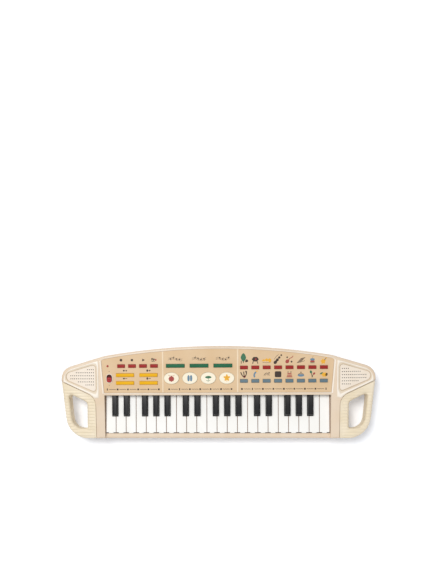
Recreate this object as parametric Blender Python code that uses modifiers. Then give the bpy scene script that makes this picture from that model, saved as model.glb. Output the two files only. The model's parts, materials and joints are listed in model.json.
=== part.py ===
"""Portable toy keyboard: 37 sprung mini keys, button banks, drum pads, two speaker wings and two carrying grips.

X runs along the keys to the right, Y to the rear and Z up, in metres. The origin is on the surface that the
keyboard stands on, under the middle of its plan.
"""

import math

import bmesh
import bpy
from mathutils import Matrix, Vector

# General: walls, clearances and how finely arcs are drawn
WALL = 0.0022
FIT = 0.0003
RIM_R = 0.0035
ARC_STEP = math.radians(22)
CLEAR = 0.010
SKY = 0.090

# Keys in plan
WHITE_COUNT = 22
WHITE_PITCH = 0.0173
KEY_GAP = 0.0011
END_GAP = 0.0016
FRONT_GAP = 0.0004
WHITE_REACH = 0.0652
BLACK_REACH = 0.0357
BLACK_WIDTH = 0.0096
BLACK_GAP = 0.0005
PAIR_SPREAD = 0.00125
TRIO_SPREAD = 0.00195
RELIEF_DEPTH = 0.0013
RELIEF_RUN = 0.0046
RELIEF_SLOPE = 0.0006

# Keys in height, their pivot and their travel
WHITE_Z = 0.032
WHITE_DEEP = 0.010
WHITE_TOP = 0.0018
KEY_WALL = 0.0012
KEY_CHAMFER = 0.0005
BLACK_RISE = 0.008
BLACK_STEP = 0.0002
BLACK_TAPER = 0.0009
BLACK_SLOPE = 0.0024
PIVOT_BACK = 0.0221
PIVOT_DROP = 0.005
BEAD_R = 0.0017
BEAD_WALL = 0.0020
SLOT_PLAY = 0.0004
HOOK_REACH = 0.0045
KEY_TRAVEL = 0.0039
CONTACT_SETBACK = 0.0257
PLUNGER = 0.0034

# Contact boards
DOME_R = 0.0026
DOME_TIP_R = 0.0017
DOME_RISE = 0.0018
MAT_THICK = 0.0012
MAT_DEPTH = 0.013
BOARD_THICK = 0.0016
BOARD_FRONT = 0.016
BOARD_BACK = 0.034
POST_R = 0.003

# Housing in plan
RAIL_DEPTH = 0.0086
DECK_DEPTH = 0.0828
CHEEK_WIDTH = 0.0145
WING_REACH = 0.0606
REAR_BOW_R = 1.150
BOW_BLEND_R = 0.060
WING_SWEEP = math.radians(16.2)
TIP_R = 0.0215
SIDE_LEAN = math.radians(6.0)
SEAM_SLOPE = math.radians(25.1)
SEAM_DROP = 0.0018
SEAM_R = 0.022
SEAM_GAP = 0.0005
WING_START = 0.0100

# Housing in height
FOOT_HEIGHT = 0.003
FOOT_R = 0.0065
SPLIT_Z = 0.022
KEY_PROUD = 0.003
CHEEK_PROUD = 0.003
LIP_HEADROOM = 0.0008
LIP_DEPTH = 0.0030
DECK_TILT = math.radians(4.0)
WING_FALL = math.radians(5.0)
COLUMN_R = 0.0035
COLUMN_SETBACK = 0.0058
WELL_R = 0.0024
WELL_SEAT = 0.004
PILOT_R = 0.0012
PILOT_DEEP = 0.009

# Carrying grips
GRIP_FLOOR = 0.008
GRIP_DROP = 0.001
GRIP_CORNER_R = 0.038
GRIP_EDGE_R = 0.0045
GRIP_OUTER = 0.0100
GRIP_INNER = 0.0160
GRIP_FRONT = 0.0174
HOLE_SET = 0.0210
HOLE_SLOPE = math.radians(26.0)
HOLE_RADII = (0.0035, 0.020, 0.004, 0.008)
RIB_PITCH = 0.0052
RIB_WIDTH = 0.0030
RIB_DEEP = 0.0008
GRIP_WALL = 0.0026

# Speaker grilles and speakers
GRILLE_SETBACK = 0.0098
GRILLE_INSET = 0.0045
GRILLE_SLOPE = math.radians(22.6)
GRILLE_DROP = 0.0008
GRILLE_RADII = (0.005, 0.0077, 0.004)
GRILLE_THICK = 0.0020
GRILLE_SUNK = 0.0003
GRILLE_LEDGE = 0.0030
LEDGE_THICK = 0.0016
HOLE_R = 0.0009
HOLE_PITCH = 0.0033
HOLE_ROWS = 6
HOLE_ROW_PITCH = 0.0052
HOLE_MARGIN = 0.0030
SPEAKER_R = 0.0172
SPEAKER_DEEP = 0.0150
SPEAKER_IN = 0.0190
MAGNET_R = 0.0105

# Control panel and what stands in it
STRIP_DEPTH = 0.0044
BORDER = 0.0052
PANEL_LEAN = math.radians(4.6)
PANEL_RADII = (0.0015, 0.0030)
PANEL_THICK = 0.0020
PANEL_SUNK = 0.0003
PANEL_LEDGE = 0.0025
CAP_FIT = 0.0003
CAP_PROUD = 0.0016
CAP_CHAMFER = 0.0004
RUNNER_THICK = 0.0014
RUNNER_EDGE = 0.0015
BUTTON_TRAVEL = 0.0012
SMALL_CAP = (0.0126, 0.0054)
LEVEL_CAP = (0.0304, 0.0056)
SONG_CAP = (0.0311, 0.0058)
SMALL_PITCH = 0.01863
LEVEL_PITCH = 0.0400
LEVEL_ROW = 0.0133
SONG_PITCH = 0.0401
VOICE_PITCH = 0.01904
PAD_SIZE = (0.0258, 0.0200)
PAD_PITCH = 0.03113
PAD_COUNT = 4
PAD_SEGMENTS = 20
LEFT_FIELD_X = 0.0558
MIDDLE_FIELD_X = -0.0299
RIGHT_FIELD_X = 0.0792
TRANSPORT_SHIFT = 0.0015
UPPER_ROW = 0.0452
PAD_ROW = 0.0242
VOICE_ROW = 0.0418
RHYTHM_ROW = 0.0192
LEVEL_MID_ROW = 0.0232
SWITCH_X = 0.0090
SWITCH_ROW = 0.0242
SWITCH_SLOT = (0.0092, 0.0136)
SWITCH_KNOB = 0.0086
SWITCH_RING = 0.0014
SWITCH_RING_RISE = 0.0007
LIGHT_X = 0.0063
LIGHT_R = 0.0016
STUD_R = 0.0018
PANEL_BOARD_ROWS = (0.0096, 0.0526)
PANEL_BOARD_EDGE = 0.0050

# Battery bay: four cells side by side, under the deck
CELL_R = 0.00725
CELL_LENGTH = 0.0510
BAY_WALL = 0.0016
DOOR_THICK = 0.0020
DOOR_LIP = 0.0022
DOOR_SCREW_R = 0.0018

# Places that follow from the sizes above
KEYBED_HALF = WHITE_COUNT * WHITE_PITCH / 2 + END_GAP - KEY_GAP / 2
CHEEK_OUT = KEYBED_HALF + CHEEK_WIDTH
HALF_LENGTH = CHEEK_OUT + WING_REACH
WING_X = KEYBED_HALF + WING_START
DEPTH = RAIL_DEPTH + WHITE_REACH + DECK_DEPTH
FRONT_Y = -DEPTH / 2
REAR_Y = DEPTH / 2
KEYBED_Y = FRONT_Y + RAIL_DEPTH
DECK_Y = KEYBED_Y + WHITE_REACH
PANEL_Y = DECK_Y + STRIP_DEPTH
PIVOT_Y = DECK_Y + PIVOT_BACK
CONTACT_Y = DECK_Y - CONTACT_SETBACK
BLACK_FRONT_Y = DECK_Y - BLACK_REACH
FLOOR_Z = FOOT_HEIGHT
RAIL_Z = WHITE_Z - KEY_PROUD
CHEEK_Z = WHITE_Z + CHEEK_PROUD
DECK_Z = WHITE_Z + BLACK_RISE + LIP_HEADROOM + WALL
PIVOT_Z = WHITE_Z - PIVOT_DROP
SKIRT_Z = WHITE_Z - WHITE_DEEP
SWING = math.asin(KEY_TRAVEL / (PIVOT_Y - KEYBED_Y))
DOME_Z = SKIRT_Z - (PIVOT_Y - CONTACT_Y) * math.sin(SWING) - FIT
MAT_Z = DOME_Z - DOME_RISE
BOARD_Z = MAT_Z - MAT_THICK - FIT
NATURALS = "CDEFGAB"
PAIR_AND_TRIO = {"C": -PAIR_SPREAD, "D": PAIR_SPREAD, "F": -TRIO_SPREAD, "G": 0.0, "A": TRIO_SPREAD}

# World axes for a side outline that runs along X: local x is Y, local y is Z, local z is X
SIDE_ON = Matrix(((0, 0, 1, 0), (1, 0, 0, 0), (0, 1, 0, 0), (0, 0, 0, 1)))


def clear_scene():
    """An empty scene."""
    for obj in list(bpy.data.objects):
        bpy.data.objects.remove(obj)


def collection(name):
    """A new collection in the scene."""
    made = bpy.data.collections.new(name)
    bpy.context.scene.collection.children.link(made)
    return made


def finish(name, colour, roughness):
    """A plastic, rubber or board finish: a Principled BSDF with an sRGB hex colour."""
    made = bpy.data.materials.new(name)
    made.use_nodes = True
    shader = made.node_tree.nodes["Principled BSDF"]
    channels = [int(colour[i:i + 2], 16) / 255 for i in (0, 2, 4)]
    linear = [c / 12.92 if c <= 0.04045 else ((c + 0.055) / 1.055) ** 2.4 for c in channels]
    shader.inputs["Base Color"].default_value = (*linear, 1)
    shader.inputs["Roughness"].default_value = roughness
    return made


# Outlines


def side_share(corners, i):
    """How much of its radius a corner keeps, so that its arc and its neighbours' fit on the sides between them."""
    spots = [Vector(corner[:2]) for corner in corners]
    taken = []
    for k in (i - 1, i, (i + 1) % len(corners)):
        back, ahead = spots[k - 1] - spots[k], spots[(k + 1) % len(corners)] - spots[k]
        taken.append(corners[k][2] / math.tan(back.angle(ahead) / 2))
    sides = (spots[i] - spots[i - 1]).length, (spots[(i + 1) % len(corners)] - spots[i]).length
    return min(1.0, sides[0] / (taken[0] + taken[1]), sides[1] / (taken[1] + taken[2]))


def rounded(corners):
    """Closed outline through corners (x, y, radius), with an arc tangent to both sides of each corner."""
    outline = []
    for i, (x, y, radius) in enumerate(corners):
        here = Vector((x, y))
        if radius <= 0:
            outline.append((x, y))
            continue
        radius *= side_share(corners, i)
        back = (Vector(corners[i - 1][:2]) - here).normalized()
        ahead = (Vector(corners[(i + 1) % len(corners)][:2]) - here).normalized()
        half = back.angle(ahead) / 2
        centre = here + (back + ahead).normalized() * radius / math.sin(half)
        start = here + back * radius / math.tan(half) - centre
        turn = math.copysign(math.pi - 2 * half, -back.cross(ahead))
        steps = max(2, math.ceil(abs(turn) / ARC_STEP))
        for k in range(steps + 1):
            outline.append(tuple(centre + Matrix.Rotation(turn * k / steps, 2) @ start))
    return outline


def grown(corners, distance):
    """Anticlockwise corners (x, y, radius) moved outwards by a distance, or inwards where it is negative."""
    moved = []
    for i, (x, y, radius) in enumerate(corners):
        here = Vector((x, y))
        before = (here - Vector(corners[i - 1][:2])).normalized()
        after = (Vector(corners[(i + 1) % len(corners)][:2]) - here).normalized()
        normal = Vector((before.y + after.y, -before.x - after.x))
        spot = here + normal * distance / (1 + before.dot(after))
        bend = math.copysign(distance, distance * before.cross(after))
        moved.append((*spot, max(radius + bend, 0) if radius > 0 else 0))
    return moved


def mirrored(outline):
    """Anticlockwise outline on the other side of the middle."""
    return [(-point[0], *point[1:]) for point in reversed(outline)]


def rectangle(x, y, width, depth, radius=0):
    """Rectangle about a centre, with round corners if a radius is given."""
    w, d = width / 2, depth / 2
    return rounded([(x - w, y - d, radius), (x + w, y - d, radius), (x + w, y + d, radius), (x - w, y + d, radius)])


def ellipse(x, y, width, depth, segments):
    """Ellipse about a centre."""
    turns = [2 * math.pi * k / segments for k in range(segments)]
    return [(x + width / 2 * math.cos(a), y + depth / 2 * math.sin(a)) for a in turns]


def meet(point, angle, other, other_angle):
    """Where two lines cross, each given by a point and its direction."""
    along = Vector((math.cos(angle), math.sin(angle)))
    across = Vector((math.cos(other_angle), math.sin(other_angle)))
    span = Vector(other) - Vector(point)
    return Vector(point) + along * span.cross(across) / along.cross(across)


# Solids


def new_object(name, mesh):
    """Mesh as an object of the model."""
    made = bpy.data.objects.new(name, mesh)
    PARTS.objects.link(made)
    return made


def evaluated_mesh(obj):
    """Mesh of an object as its modifiers or its curve make it."""
    graph = bpy.context.evaluated_depsgraph_get()
    return bpy.data.meshes.new_from_object(obj.evaluated_get(graph))


def tidied(mesh, dissolve=True, outwards=False):
    """Welds doubled corners, joins flat neighbours where that leaves the solid closed, and can face it outwards."""
    grid = bmesh.new()
    grid.from_mesh(mesh)
    bmesh.ops.remove_doubles(grid, verts=grid.verts, dist=1e-6)
    bmesh.ops.holes_fill(grid, edges=[edge for edge in grid.edges if edge.is_boundary], sides=4)
    if dissolve:
        joined_up = grid.copy()
        bmesh.ops.dissolve_limit(
            joined_up, angle_limit=math.radians(0.05), verts=joined_up.verts, edges=joined_up.edges)
        if all(len(edge.link_faces) == 2 for edge in joined_up.edges):
            grid, joined_up = joined_up, grid
        joined_up.free()
    if outwards:
        bmesh.ops.recalc_face_normals(grid, faces=grid.faces)
    grid.to_mesh(mesh)
    grid.free()
    return mesh


def plate(name, outlines, low, high, frame=Matrix.Identity(4)):
    """Outline, with any holes after it, as a solid between two heights of a frame."""
    curve = bpy.data.curves.new(name, "CURVE")
    curve.dimensions = "2D"
    curve.fill_mode = "BOTH"
    curve.extrude = (high - low) / 2
    for outline in outlines:
        spline = curve.splines.new("POLY")
        spline.points.add(len(outline) - 1)
        for point, place in zip(spline.points, outline):
            point.co = (*place, 0, 1)
        spline.use_cyclic_u = True
    blank = bpy.data.objects.new(name + "_outline", curve)
    PARTS.objects.link(blank)
    mesh = evaluated_mesh(blank)
    bpy.data.objects.remove(blank)
    bpy.data.curves.remove(curve)
    mesh.transform(frame @ Matrix.Translation((0, 0, (low + high) / 2)))
    return new_object(name, tidied(mesh, dissolve=len(outlines) == 1, outwards=True))


def box(name, low, high, frame=Matrix.Identity(4)):
    """Box between two corners of a frame."""
    low, high = Vector(low), Vector(high)
    grid = bmesh.new()
    size = Matrix.Diagonal((*(high - low), 1))
    bmesh.ops.create_cube(grid, size=1, matrix=frame @ Matrix.Translation((low + high) / 2) @ size)
    mesh = bpy.data.meshes.new(name)
    grid.to_mesh(mesh)
    grid.free()
    return new_object(name, mesh)


def post(name, x, y, radius, low, high, frame=Matrix.Identity(4), tip=None, segments=8):
    """Round post, or a cone where a tip radius is given, between two heights of a frame."""
    grid = bmesh.new()
    bmesh.ops.create_cone(
        grid, cap_ends=True, segments=segments, radius1=radius, radius2=radius if tip is None else tip,
        depth=high - low, matrix=frame @ Matrix.Translation((x, y, (low + high) / 2)))
    mesh = bpy.data.meshes.new(name)
    grid.to_mesh(mesh)
    grid.free()
    return new_object(name, mesh)


def joined(objects):
    """Separate solids that don't touch, as one object."""
    first = objects[0]
    grid = bmesh.new()
    for obj in objects:
        grid.from_mesh(obj.data)
    grid.to_mesh(first.data)
    grid.free()
    for obj in objects[1:]:
        bpy.data.objects.remove(obj)
    return first


def combine(target, tool, operation):
    """Applies one exact Boolean to the target and takes its tool away."""
    modifier = target.modifiers.new(operation.lower(), "BOOLEAN")
    modifier.operation = operation
    modifier.solver = "EXACT"
    modifier.object = tool
    mesh = evaluated_mesh(target)
    target.modifiers.clear()
    target.data = tidied(mesh)
    bpy.data.objects.remove(tool)
    return target


def cut(target, *tools):
    """Target with each tool cut away in turn."""
    for tool in tools:
        combine(target, tool, "DIFFERENCE")
    return target


def add(target, *tools):
    """Target with each tool joined on in turn."""
    for tool in tools:
        combine(target, tool, "UNION")
    return target


def bevel_edges(obj, chosen, width, segments):
    """Rounds the edges for which chosen(edge) holds."""
    grid = bmesh.new()
    grid.from_mesh(obj.data)
    edges = [edge for edge in grid.edges if chosen(edge)]
    bmesh.ops.bevel(
        grid, geom=edges, offset=width, offset_type="OFFSET", segments=segments, profile=0.5,
        affect="EDGES", clamp_overlap=False)
    grid.to_mesh(obj.data)
    grid.free()
    return obj


def rim_edge(edge):
    """Whether an edge lies between a wall and a roof or floor."""
    if len(edge.link_faces) != 2:
        return False
    upright = [abs(face.normal.z) < 0.3 for face in edge.link_faces]
    return upright[0] != upright[1]


def other_side(obj, name):
    """Copy of a piece on the other side of the middle."""
    mesh = obj.data.copy()
    mesh.transform(Matrix.Scale(-1, 4, (1, 0, 0)))
    mesh.flip_normals()
    return new_object(name, mesh)


def place(obj, frame, parent=None):
    """Moves an object's own origin and axes to a frame, and leaves its shape where it is."""
    obj.data.transform(frame.inverted())
    obj.matrix_world = frame
    if parent is not None:
        obj.parent = parent
        obj.matrix_parent_inverse = parent.matrix_world.inverted()
    return obj


def dress(obj, material, smooth=False):
    """Gives an object its material, and smooth shading across shallow edges if it is round."""
    obj.data.materials.clear()
    obj.data.materials.append(material)
    if smooth:
        obj.data.shade_smooth()
        obj.data.set_sharp_from_angle(angle=math.radians(35))
    return obj


# Frames on the sloping deck and wings


def deck_frame():
    """Frame on the deck: x to the right, y up the slope from the deck's front edge, z out of it."""
    return Matrix.Translation((0, DECK_Y, DECK_Z)) @ Matrix.Rotation(DECK_TILT, 4, "X")


def wing_frame():
    """Frame on the right wing: as the deck's, from where the wing begins to fall outwards."""
    return (Matrix.Translation((WING_X, DECK_Y, DECK_Z)) @ Matrix.Rotation(DECK_TILT, 4, "X")
            @ Matrix.Rotation(WING_FALL, 4, "Y"))


def on_deck(x, y):
    """Plan place as the deck's own."""
    return (x, (y - DECK_Y) / math.cos(DECK_TILT))


def on_wing(x, y):
    """Plan place on the right wing as the wing's own."""
    return ((x - WING_X) / math.cos(WING_FALL), (y - DECK_Y) / math.cos(DECK_TILT))


# Plan of the housing and the grips


def rear_y(x):
    """Rear edge: a shallow arc over the keybed, then straight and swept forwards to the wing tip."""
    bow = min(abs(x), KEYBED_HALF)
    crown = REAR_Y - REAR_BOW_R + math.sqrt(REAR_BOW_R ** 2 - bow ** 2)
    return crown - (abs(x) - bow) * math.tan(WING_SWEEP)


def tip_centre():
    """Centre of the round tip of the right wing."""
    x = HALF_LENGTH - TIP_R
    return Vector((x, rear_y(x) - TIP_R / math.cos(WING_SWEEP)))


def side_point():
    """Where the right wing's round tip runs into its straight side."""
    return tip_centre() + TIP_R * Vector((math.cos(SIDE_LEAN), -math.sin(SIDE_LEAN)))


def on_side(y, inwards=0.0):
    """Point of the right side, or of a line inside it, at a given y."""
    return meet(side_point() - Vector((inwards / math.cos(SIDE_LEAN), 0)), math.pi / 2 - SIDE_LEAN, (0, y), 0)


def seam_y():
    """Where the seam leaves the right side: just in front of the round tip."""
    return side_point().y - SEAM_DROP


def seam_point(x, gap=0.0):
    """Point of the seam between the right wing and the grip, or of a line a gap in front of it."""
    start = on_side(seam_y()) - Vector((0, gap / math.cos(SEAM_SLOPE)))
    return meet(start, SEAM_SLOPE, (x, 0), math.pi / 2)


def wing_corners():
    """Corners of the right wing behind the seam: its round tip and where its rear edge meets the bow."""
    rear_corner = (KEYBED_HALF, rear_y(KEYBED_HALF))
    tip = meet(rear_corner, -WING_SWEEP, side_point(), math.pi / 2 - SIDE_LEAN)
    return [(*tip, TIP_R), (*rear_corner, BOW_BLEND_R)]


def whole_outline():
    """Plan of the whole keyboard, grips and all, anticlockwise from the front right."""
    right = [(*on_side(FRONT_Y), GRIP_CORNER_R), *wing_corners()]
    return rounded(right + bow_points(14) + mirrored(right))


def bow_points(steps):
    """Corners along the bowed rear edge, from right to left."""
    places = [KEYBED_HALF * (1 - 2 * k / steps) for k in range(1, steps)]
    return [(x, rear_y(x), 0) for x in places]


def housing_outline(margin):
    """Plan of the two housing shells between the grips, moved by a margin."""
    right = [(CHEEK_OUT, FRONT_Y, 0), (*seam_point(CHEEK_OUT), SEAM_R), (*on_side(seam_y()), 0), *wing_corners()]
    return rounded(grown(right + bow_points(14) + mirrored(right), margin))


def grip_zone(gap=0.0):
    """Everything on the right grip's side of the seam, or of a line a gap in front of it."""
    inner, far = CHEEK_OUT + gap, HALF_LENGTH + CLEAR
    front = FRONT_Y - CLEAR
    corners = [(inner, front, 0), (far, front, 0), (*seam_point(far, gap), 0),
               (*seam_point(inner, gap), SEAM_R - gap)]
    return plate("grip_zone", [rounded(corners)], -CLEAR, SKY * 2)


def grip_outline(margin):
    """Plan of the right grip, with the seam's gap to the housing, moved by a margin."""
    inner = CHEEK_OUT + SEAM_GAP
    outer = meet(seam_point(inner, SEAM_GAP), SEAM_SLOPE, side_point(), math.pi / 2 - SIDE_LEAN)
    corners = [
        (inner, FRONT_Y, 0),
        (*on_side(FRONT_Y), GRIP_CORNER_R),
        (*outer, 0),
        (*seam_point(inner, SEAM_GAP), SEAM_R - SEAM_GAP),
    ]
    return rounded(grown(corners, margin))


def finger_hole(margin=0.0):
    """Plan of the right grip's finger hole."""
    inner = CHEEK_OUT + GRIP_INNER
    front = FRONT_Y + GRIP_FRONT
    rear_outer = on_side(seam_y() - HOLE_SET, GRIP_OUTER)
    rear_inner = meet(rear_outer, HOLE_SLOPE, (inner, 0), math.pi / 2)
    corners = [(inner, front), on_side(front, GRIP_OUTER), rear_outer, rear_inner]
    return rounded(grown([(*corner, radius) for corner, radius in zip(corners, HOLE_RADII)], margin))


# Housing envelope


def roof(name, drop):
    """Everything under the housing's top surfaces, lowered by a drop: cheeks, deck and falling wings."""
    front, rear = FRONT_Y - CLEAR, REAR_Y + CLEAR
    cheek_slope = (DECK_Z - CHEEK_Z) / (DECK_Y - FRONT_Y)
    side = [
        (front, -CLEAR),
        (rear, -CLEAR),
        (rear, DECK_Z - drop + (rear - DECK_Y) * math.tan(DECK_TILT)),
        (DECK_Y, DECK_Z - drop),
        (front, CHEEK_Z - drop - CLEAR * cheek_slope),
    ]
    half = HALF_LENGTH + CLEAR
    body = plate(name, [side], -half, half, SIDE_ON)
    above = box("above_wing", (-CLEAR, -DEPTH, 0), (WING_REACH * 2, DEPTH * 2, SKY), wing_frame())
    above.data.transform(Matrix.Translation((0, 0, -drop)))
    return cut(body, other_side(above, "above_left_wing"), above)


def panel_outline(margin=0.0):
    """Outline of the control panel on the deck: it follows the bowed rear edge and leans out at its ends."""
    front = KEYBED_HALF
    rear = meet((front, PANEL_Y), math.pi / 2 - PANEL_LEAN,
                (KEYBED_HALF, rear_y(KEYBED_HALF) - BORDER), -WING_SWEEP)
    right = [(*on_deck(front, PANEL_Y), PANEL_RADII[0]), (*on_deck(*rear), PANEL_RADII[1])]
    steps = 14
    bow = [KEYBED_HALF * (1 - 2 * k / steps) for k in range(1, steps)]
    middle = [(*on_deck(x, rear_y(x) - BORDER), 0) for x in bow]
    return rounded(grown(right + middle + mirrored(right), margin))


def grille_outline(margin=0.0):
    """Outline of the right speaker grille on its wing: a triangle with round corners."""
    inner = WING_X + GRILLE_INSET
    rear = (inner, rear_y(inner) - GRILLE_SETBACK / math.cos(WING_SWEEP))
    front = (inner, seam_point(inner)[1] + GRILLE_SETBACK - GRILLE_DROP)
    tip = meet(rear, -WING_SWEEP, front, GRILLE_SLOPE)
    spots = zip((rear, tip, front), GRILLE_RADII)
    return rounded(grown([(*on_wing(*spot), radius) for spot, radius in spots][::-1], margin))


def column_places():
    """Plan places of the screw columns that join the two shells: four behind, two in each cheek, one in each tip."""
    cheek = (KEYBED_HALF + CHEEK_OUT) / 2
    tip = tip_centre() + Vector((TIP_R / 2 - COLUMN_R, 0))
    right = [(x, rear_y(x) - COLUMN_SETBACK) for x in (KEYBED_HALF / 3, KEYBED_HALF * 5 / 6)]
    right += [(cheek, FRONT_Y + 2 * RAIL_DEPTH), (cheek, DECK_Y), tuple(tip)]
    return right + [(-x, y) for x, y in right]


def bay_size():
    """Battery bay's inside: half width, front, rear and height."""
    front = PIVOT_Y + BEAD_WALL / 4 + BAY_WALL
    return 4 * CELL_R + 2 * FIT, front, front + CELL_LENGTH, FLOOR_Z + DOOR_THICK + FIT + 2 * CELL_R


def housing_cavity():
    """Inside of the closed housing, less the ledges, columns and battery bay that stand in it."""
    inside = plate("cavity", [housing_outline(-WALL)], FLOOR_Z + WALL, SKY)
    combine(inside, roof("cavity_roof", WALL), "INTERSECT")
    keybed_roof = box("keybed_roof", (-KEYBED_HALF - WALL, FRONT_Y - CLEAR, RAIL_Z - WALL),
                      (KEYBED_HALF + WALL, DECK_Y + WALL, SKY))
    panel_under = PANEL_SUNK + PANEL_THICK + FIT + LEDGE_THICK
    panel_ledge = plate("panel_ledge", [panel_outline(WALL)], -panel_under, CLEAR, deck_frame())
    grille_under = GRILLE_SUNK + GRILLE_THICK + FIT + LEDGE_THICK
    grille_ledge = plate("grille_ledge", [grille_outline(WALL)], -grille_under, CLEAR, wing_frame())
    columns = joined([post("column", x, y, COLUMN_R, 0, SKY) for x, y in column_places()])
    half, front, rear, top = bay_size()
    bay = box("bay", (-half - BAY_WALL, front - BAY_WALL, 0), (half + BAY_WALL, rear + BAY_WALL, top + BAY_WALL))
    return cut(inside, keybed_roof, panel_ledge, other_side(grille_ledge, "left_ledge"), grille_ledge, columns, bay)


def keybed_opening():
    """What is open above the rail, in the keybed, and under the deck's front edge where the keys pass."""
    rounding = [math.pi - math.pi / 2 * k / 3 for k in range(4)]
    rail_edge = [
        (FRONT_Y + RIM_R + RIM_R * math.cos(a), RAIL_Z - RIM_R + RIM_R * math.sin(a)) for a in rounding
    ]
    side = [
        (FRONT_Y - CLEAR, RAIL_Z - RIM_R),
        *rail_edge,
        (KEYBED_Y, RAIL_Z),
        (KEYBED_Y, FLOOR_Z + 2 * WALL),
        (DECK_Y + LIP_DEPTH, FLOOR_Z + 2 * WALL),
        (DECK_Y + LIP_DEPTH, DECK_Z - WALL),
        (DECK_Y, DECK_Z - WALL),
        (DECK_Y, SKY),
        (FRONT_Y - CLEAR, SKY),
    ]
    return plate("keybed_opening", [side], -KEYBED_HALF, KEYBED_HALF, SIDE_ON)


def housing_shell():
    """Both housings in one, before they are parted: a rounded envelope, hollow, open at keybed, panel and grilles."""
    shell = plate("shell", [whole_outline()], FLOOR_Z, SKY)
    combine(shell, roof("shell_roof", 0), "INTERSECT")
    bevel_edges(shell, rim_edge, RIM_R, 2)
    zone = grip_zone()
    cut(shell, other_side(zone, "left_zone"), zone, housing_cavity(), keybed_opening())
    panel_seat = PANEL_SUNK + PANEL_THICK + FIT
    panel_under = panel_seat + LEDGE_THICK + WALL
    cut(shell, plate("panel_recess", [panel_outline(FIT)], -panel_seat, CLEAR, deck_frame()))
    cut(shell, plate("panel_opening", [panel_outline(-PANEL_LEDGE)], -panel_under, CLEAR, deck_frame()))
    grille_seat = GRILLE_SUNK + GRILLE_THICK + FIT
    grille_under = grille_seat + LEDGE_THICK + WALL
    for margin, low in ((FIT, grille_seat), (-GRILLE_LEDGE, grille_under)):
        hole = plate("grille_opening", [grille_outline(margin)], -low, CLEAR, wing_frame())
        cut(shell, other_side(hole, "left_opening"), hole)
    return shell


def upper_housing(shell, material):
    """Upper shell: all of the envelope above the parting line, with a pilot hole in each column."""
    obj = new_object("upper_housing", shell.data.copy())
    span = HALF_LENGTH + CLEAR
    cut(obj, box("below", (-span, -DEPTH, -CLEAR), (span, DEPTH, SPLIT_Z + FIT)))
    cut(obj, joined([post("pilot", x, y, PILOT_R, SPLIT_Z - CLEAR, SPLIT_Z + PILOT_DEEP, segments=6)
                     for x, y in column_places()]))
    return dress(obj, material)


def lower_housing(shell, material):
    """Lower shell: floor, feet, pivot rail for the keys, board posts, battery bay and screw wells."""
    obj = new_object("lower_housing", shell.data.copy())
    span = HALF_LENGTH + CLEAR
    cut(obj, box("above", (-span, -DEPTH, SPLIT_Z), (span, DEPTH, SKY * 2)))
    half, front, rear, top = bay_size()
    rail_half = KEYBED_HALF - WALL
    inside = FLOOR_Z + WALL / 2
    wall = box("pivot_wall", (-rail_half, PIVOT_Y - BEAD_WALL / 2, inside),
               (rail_half, PIVOT_Y + BEAD_WALL / 2, PIVOT_Z))
    bead = post("bead", PIVOT_Y, PIVOT_Z, BEAD_R, -rail_half - WALL / 2, rail_half + WALL / 2, SIDE_ON)
    add(obj, add(wall, bead))
    add(obj, joined([post("board_post", x, y, POST_R, inside, BOARD_Z - BOARD_THICK - FIT)
                     for x, y in board_posts()]))
    add(obj, joined([post("foot", x, y, FOOT_R, 0, inside) for x, y in foot_places()]))
    door = box("door_opening", (-half - DOOR_LIP - FIT, front - DOOR_LIP - FIT, -CLEAR),
               (half + DOOR_LIP + FIT, rear + DOOR_LIP + FIT, FLOOR_Z + DOOR_THICK + FIT))
    cut(obj, door, box("bay_inside", (-half, front, -CLEAR), (half, rear, top)))
    cut(obj, joined([post("well", x, y, WELL_R, -CLEAR, SPLIT_Z - WELL_SEAT) for x, y in column_places()]))
    cut(obj, joined([post("shank", x, y, PILOT_R, 0, SPLIT_Z + CLEAR, segments=6) for x, y in column_places()]))
    return dress(obj, material)


def foot_places():
    """Plan places of the moulded feet, in a front and a rear row."""
    rows = (FRONT_Y + FOOT_R + RAIL_DEPTH, rear_y(KEYBED_HALF) - 2 * FOOT_R)
    columns = (KEYBED_HALF - FOOT_R, KEYBED_HALF / 3)
    return [(side * x, y) for side in (-1, 1) for x in columns for y in rows]


def board_posts():
    """Plan places of the posts under the key board, clear of the feet's edges."""
    rows = (CONTACT_Y - BOARD_FRONT + POST_R, CONTACT_Y + BOARD_BACK - POST_R)
    return [(KEYBED_HALF * step / 4, y) for step in (-3.6, -1.2, 1.2, 3.6) for y in rows]


# Carrying grips and speaker wings


def right_grip(material):
    """Ribbed grip with a finger hole: hollow, rounded all round and open towards the housing."""
    top = plate("right_handle", [whole_outline(), finger_hole()], GRIP_FLOOR, SKY)
    combine(top, roof("grip_roof", GRIP_DROP), "INTERSECT")
    bevel_edges(top, rim_edge, GRIP_EDGE_R, 2)
    combine(top, grip_zone(SEAM_GAP), "INTERSECT")
    core = plate("grip_core", [grip_outline(-GRIP_WALL), finger_hole(GRIP_WALL)], GRIP_FLOOR + GRIP_WALL, SKY)
    combine(core, roof("grip_core_roof", GRIP_DROP + GRIP_WALL + RIB_DEEP), "INTERSECT")
    middle = (GRIP_FLOOR + CHEEK_Z) / 2
    slot = box("grip_slot", (CHEEK_OUT, FRONT_Y + GRIP_FRONT, middle - 2 * GRIP_WALL),
               (CHEEK_OUT + 2 * GRIP_WALL, DECK_Y - GRIP_FRONT, middle + 2 * GRIP_WALL))
    cut(top, core, slot, grip_grooves())
    return dress(top, material, smooth=True)


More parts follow.
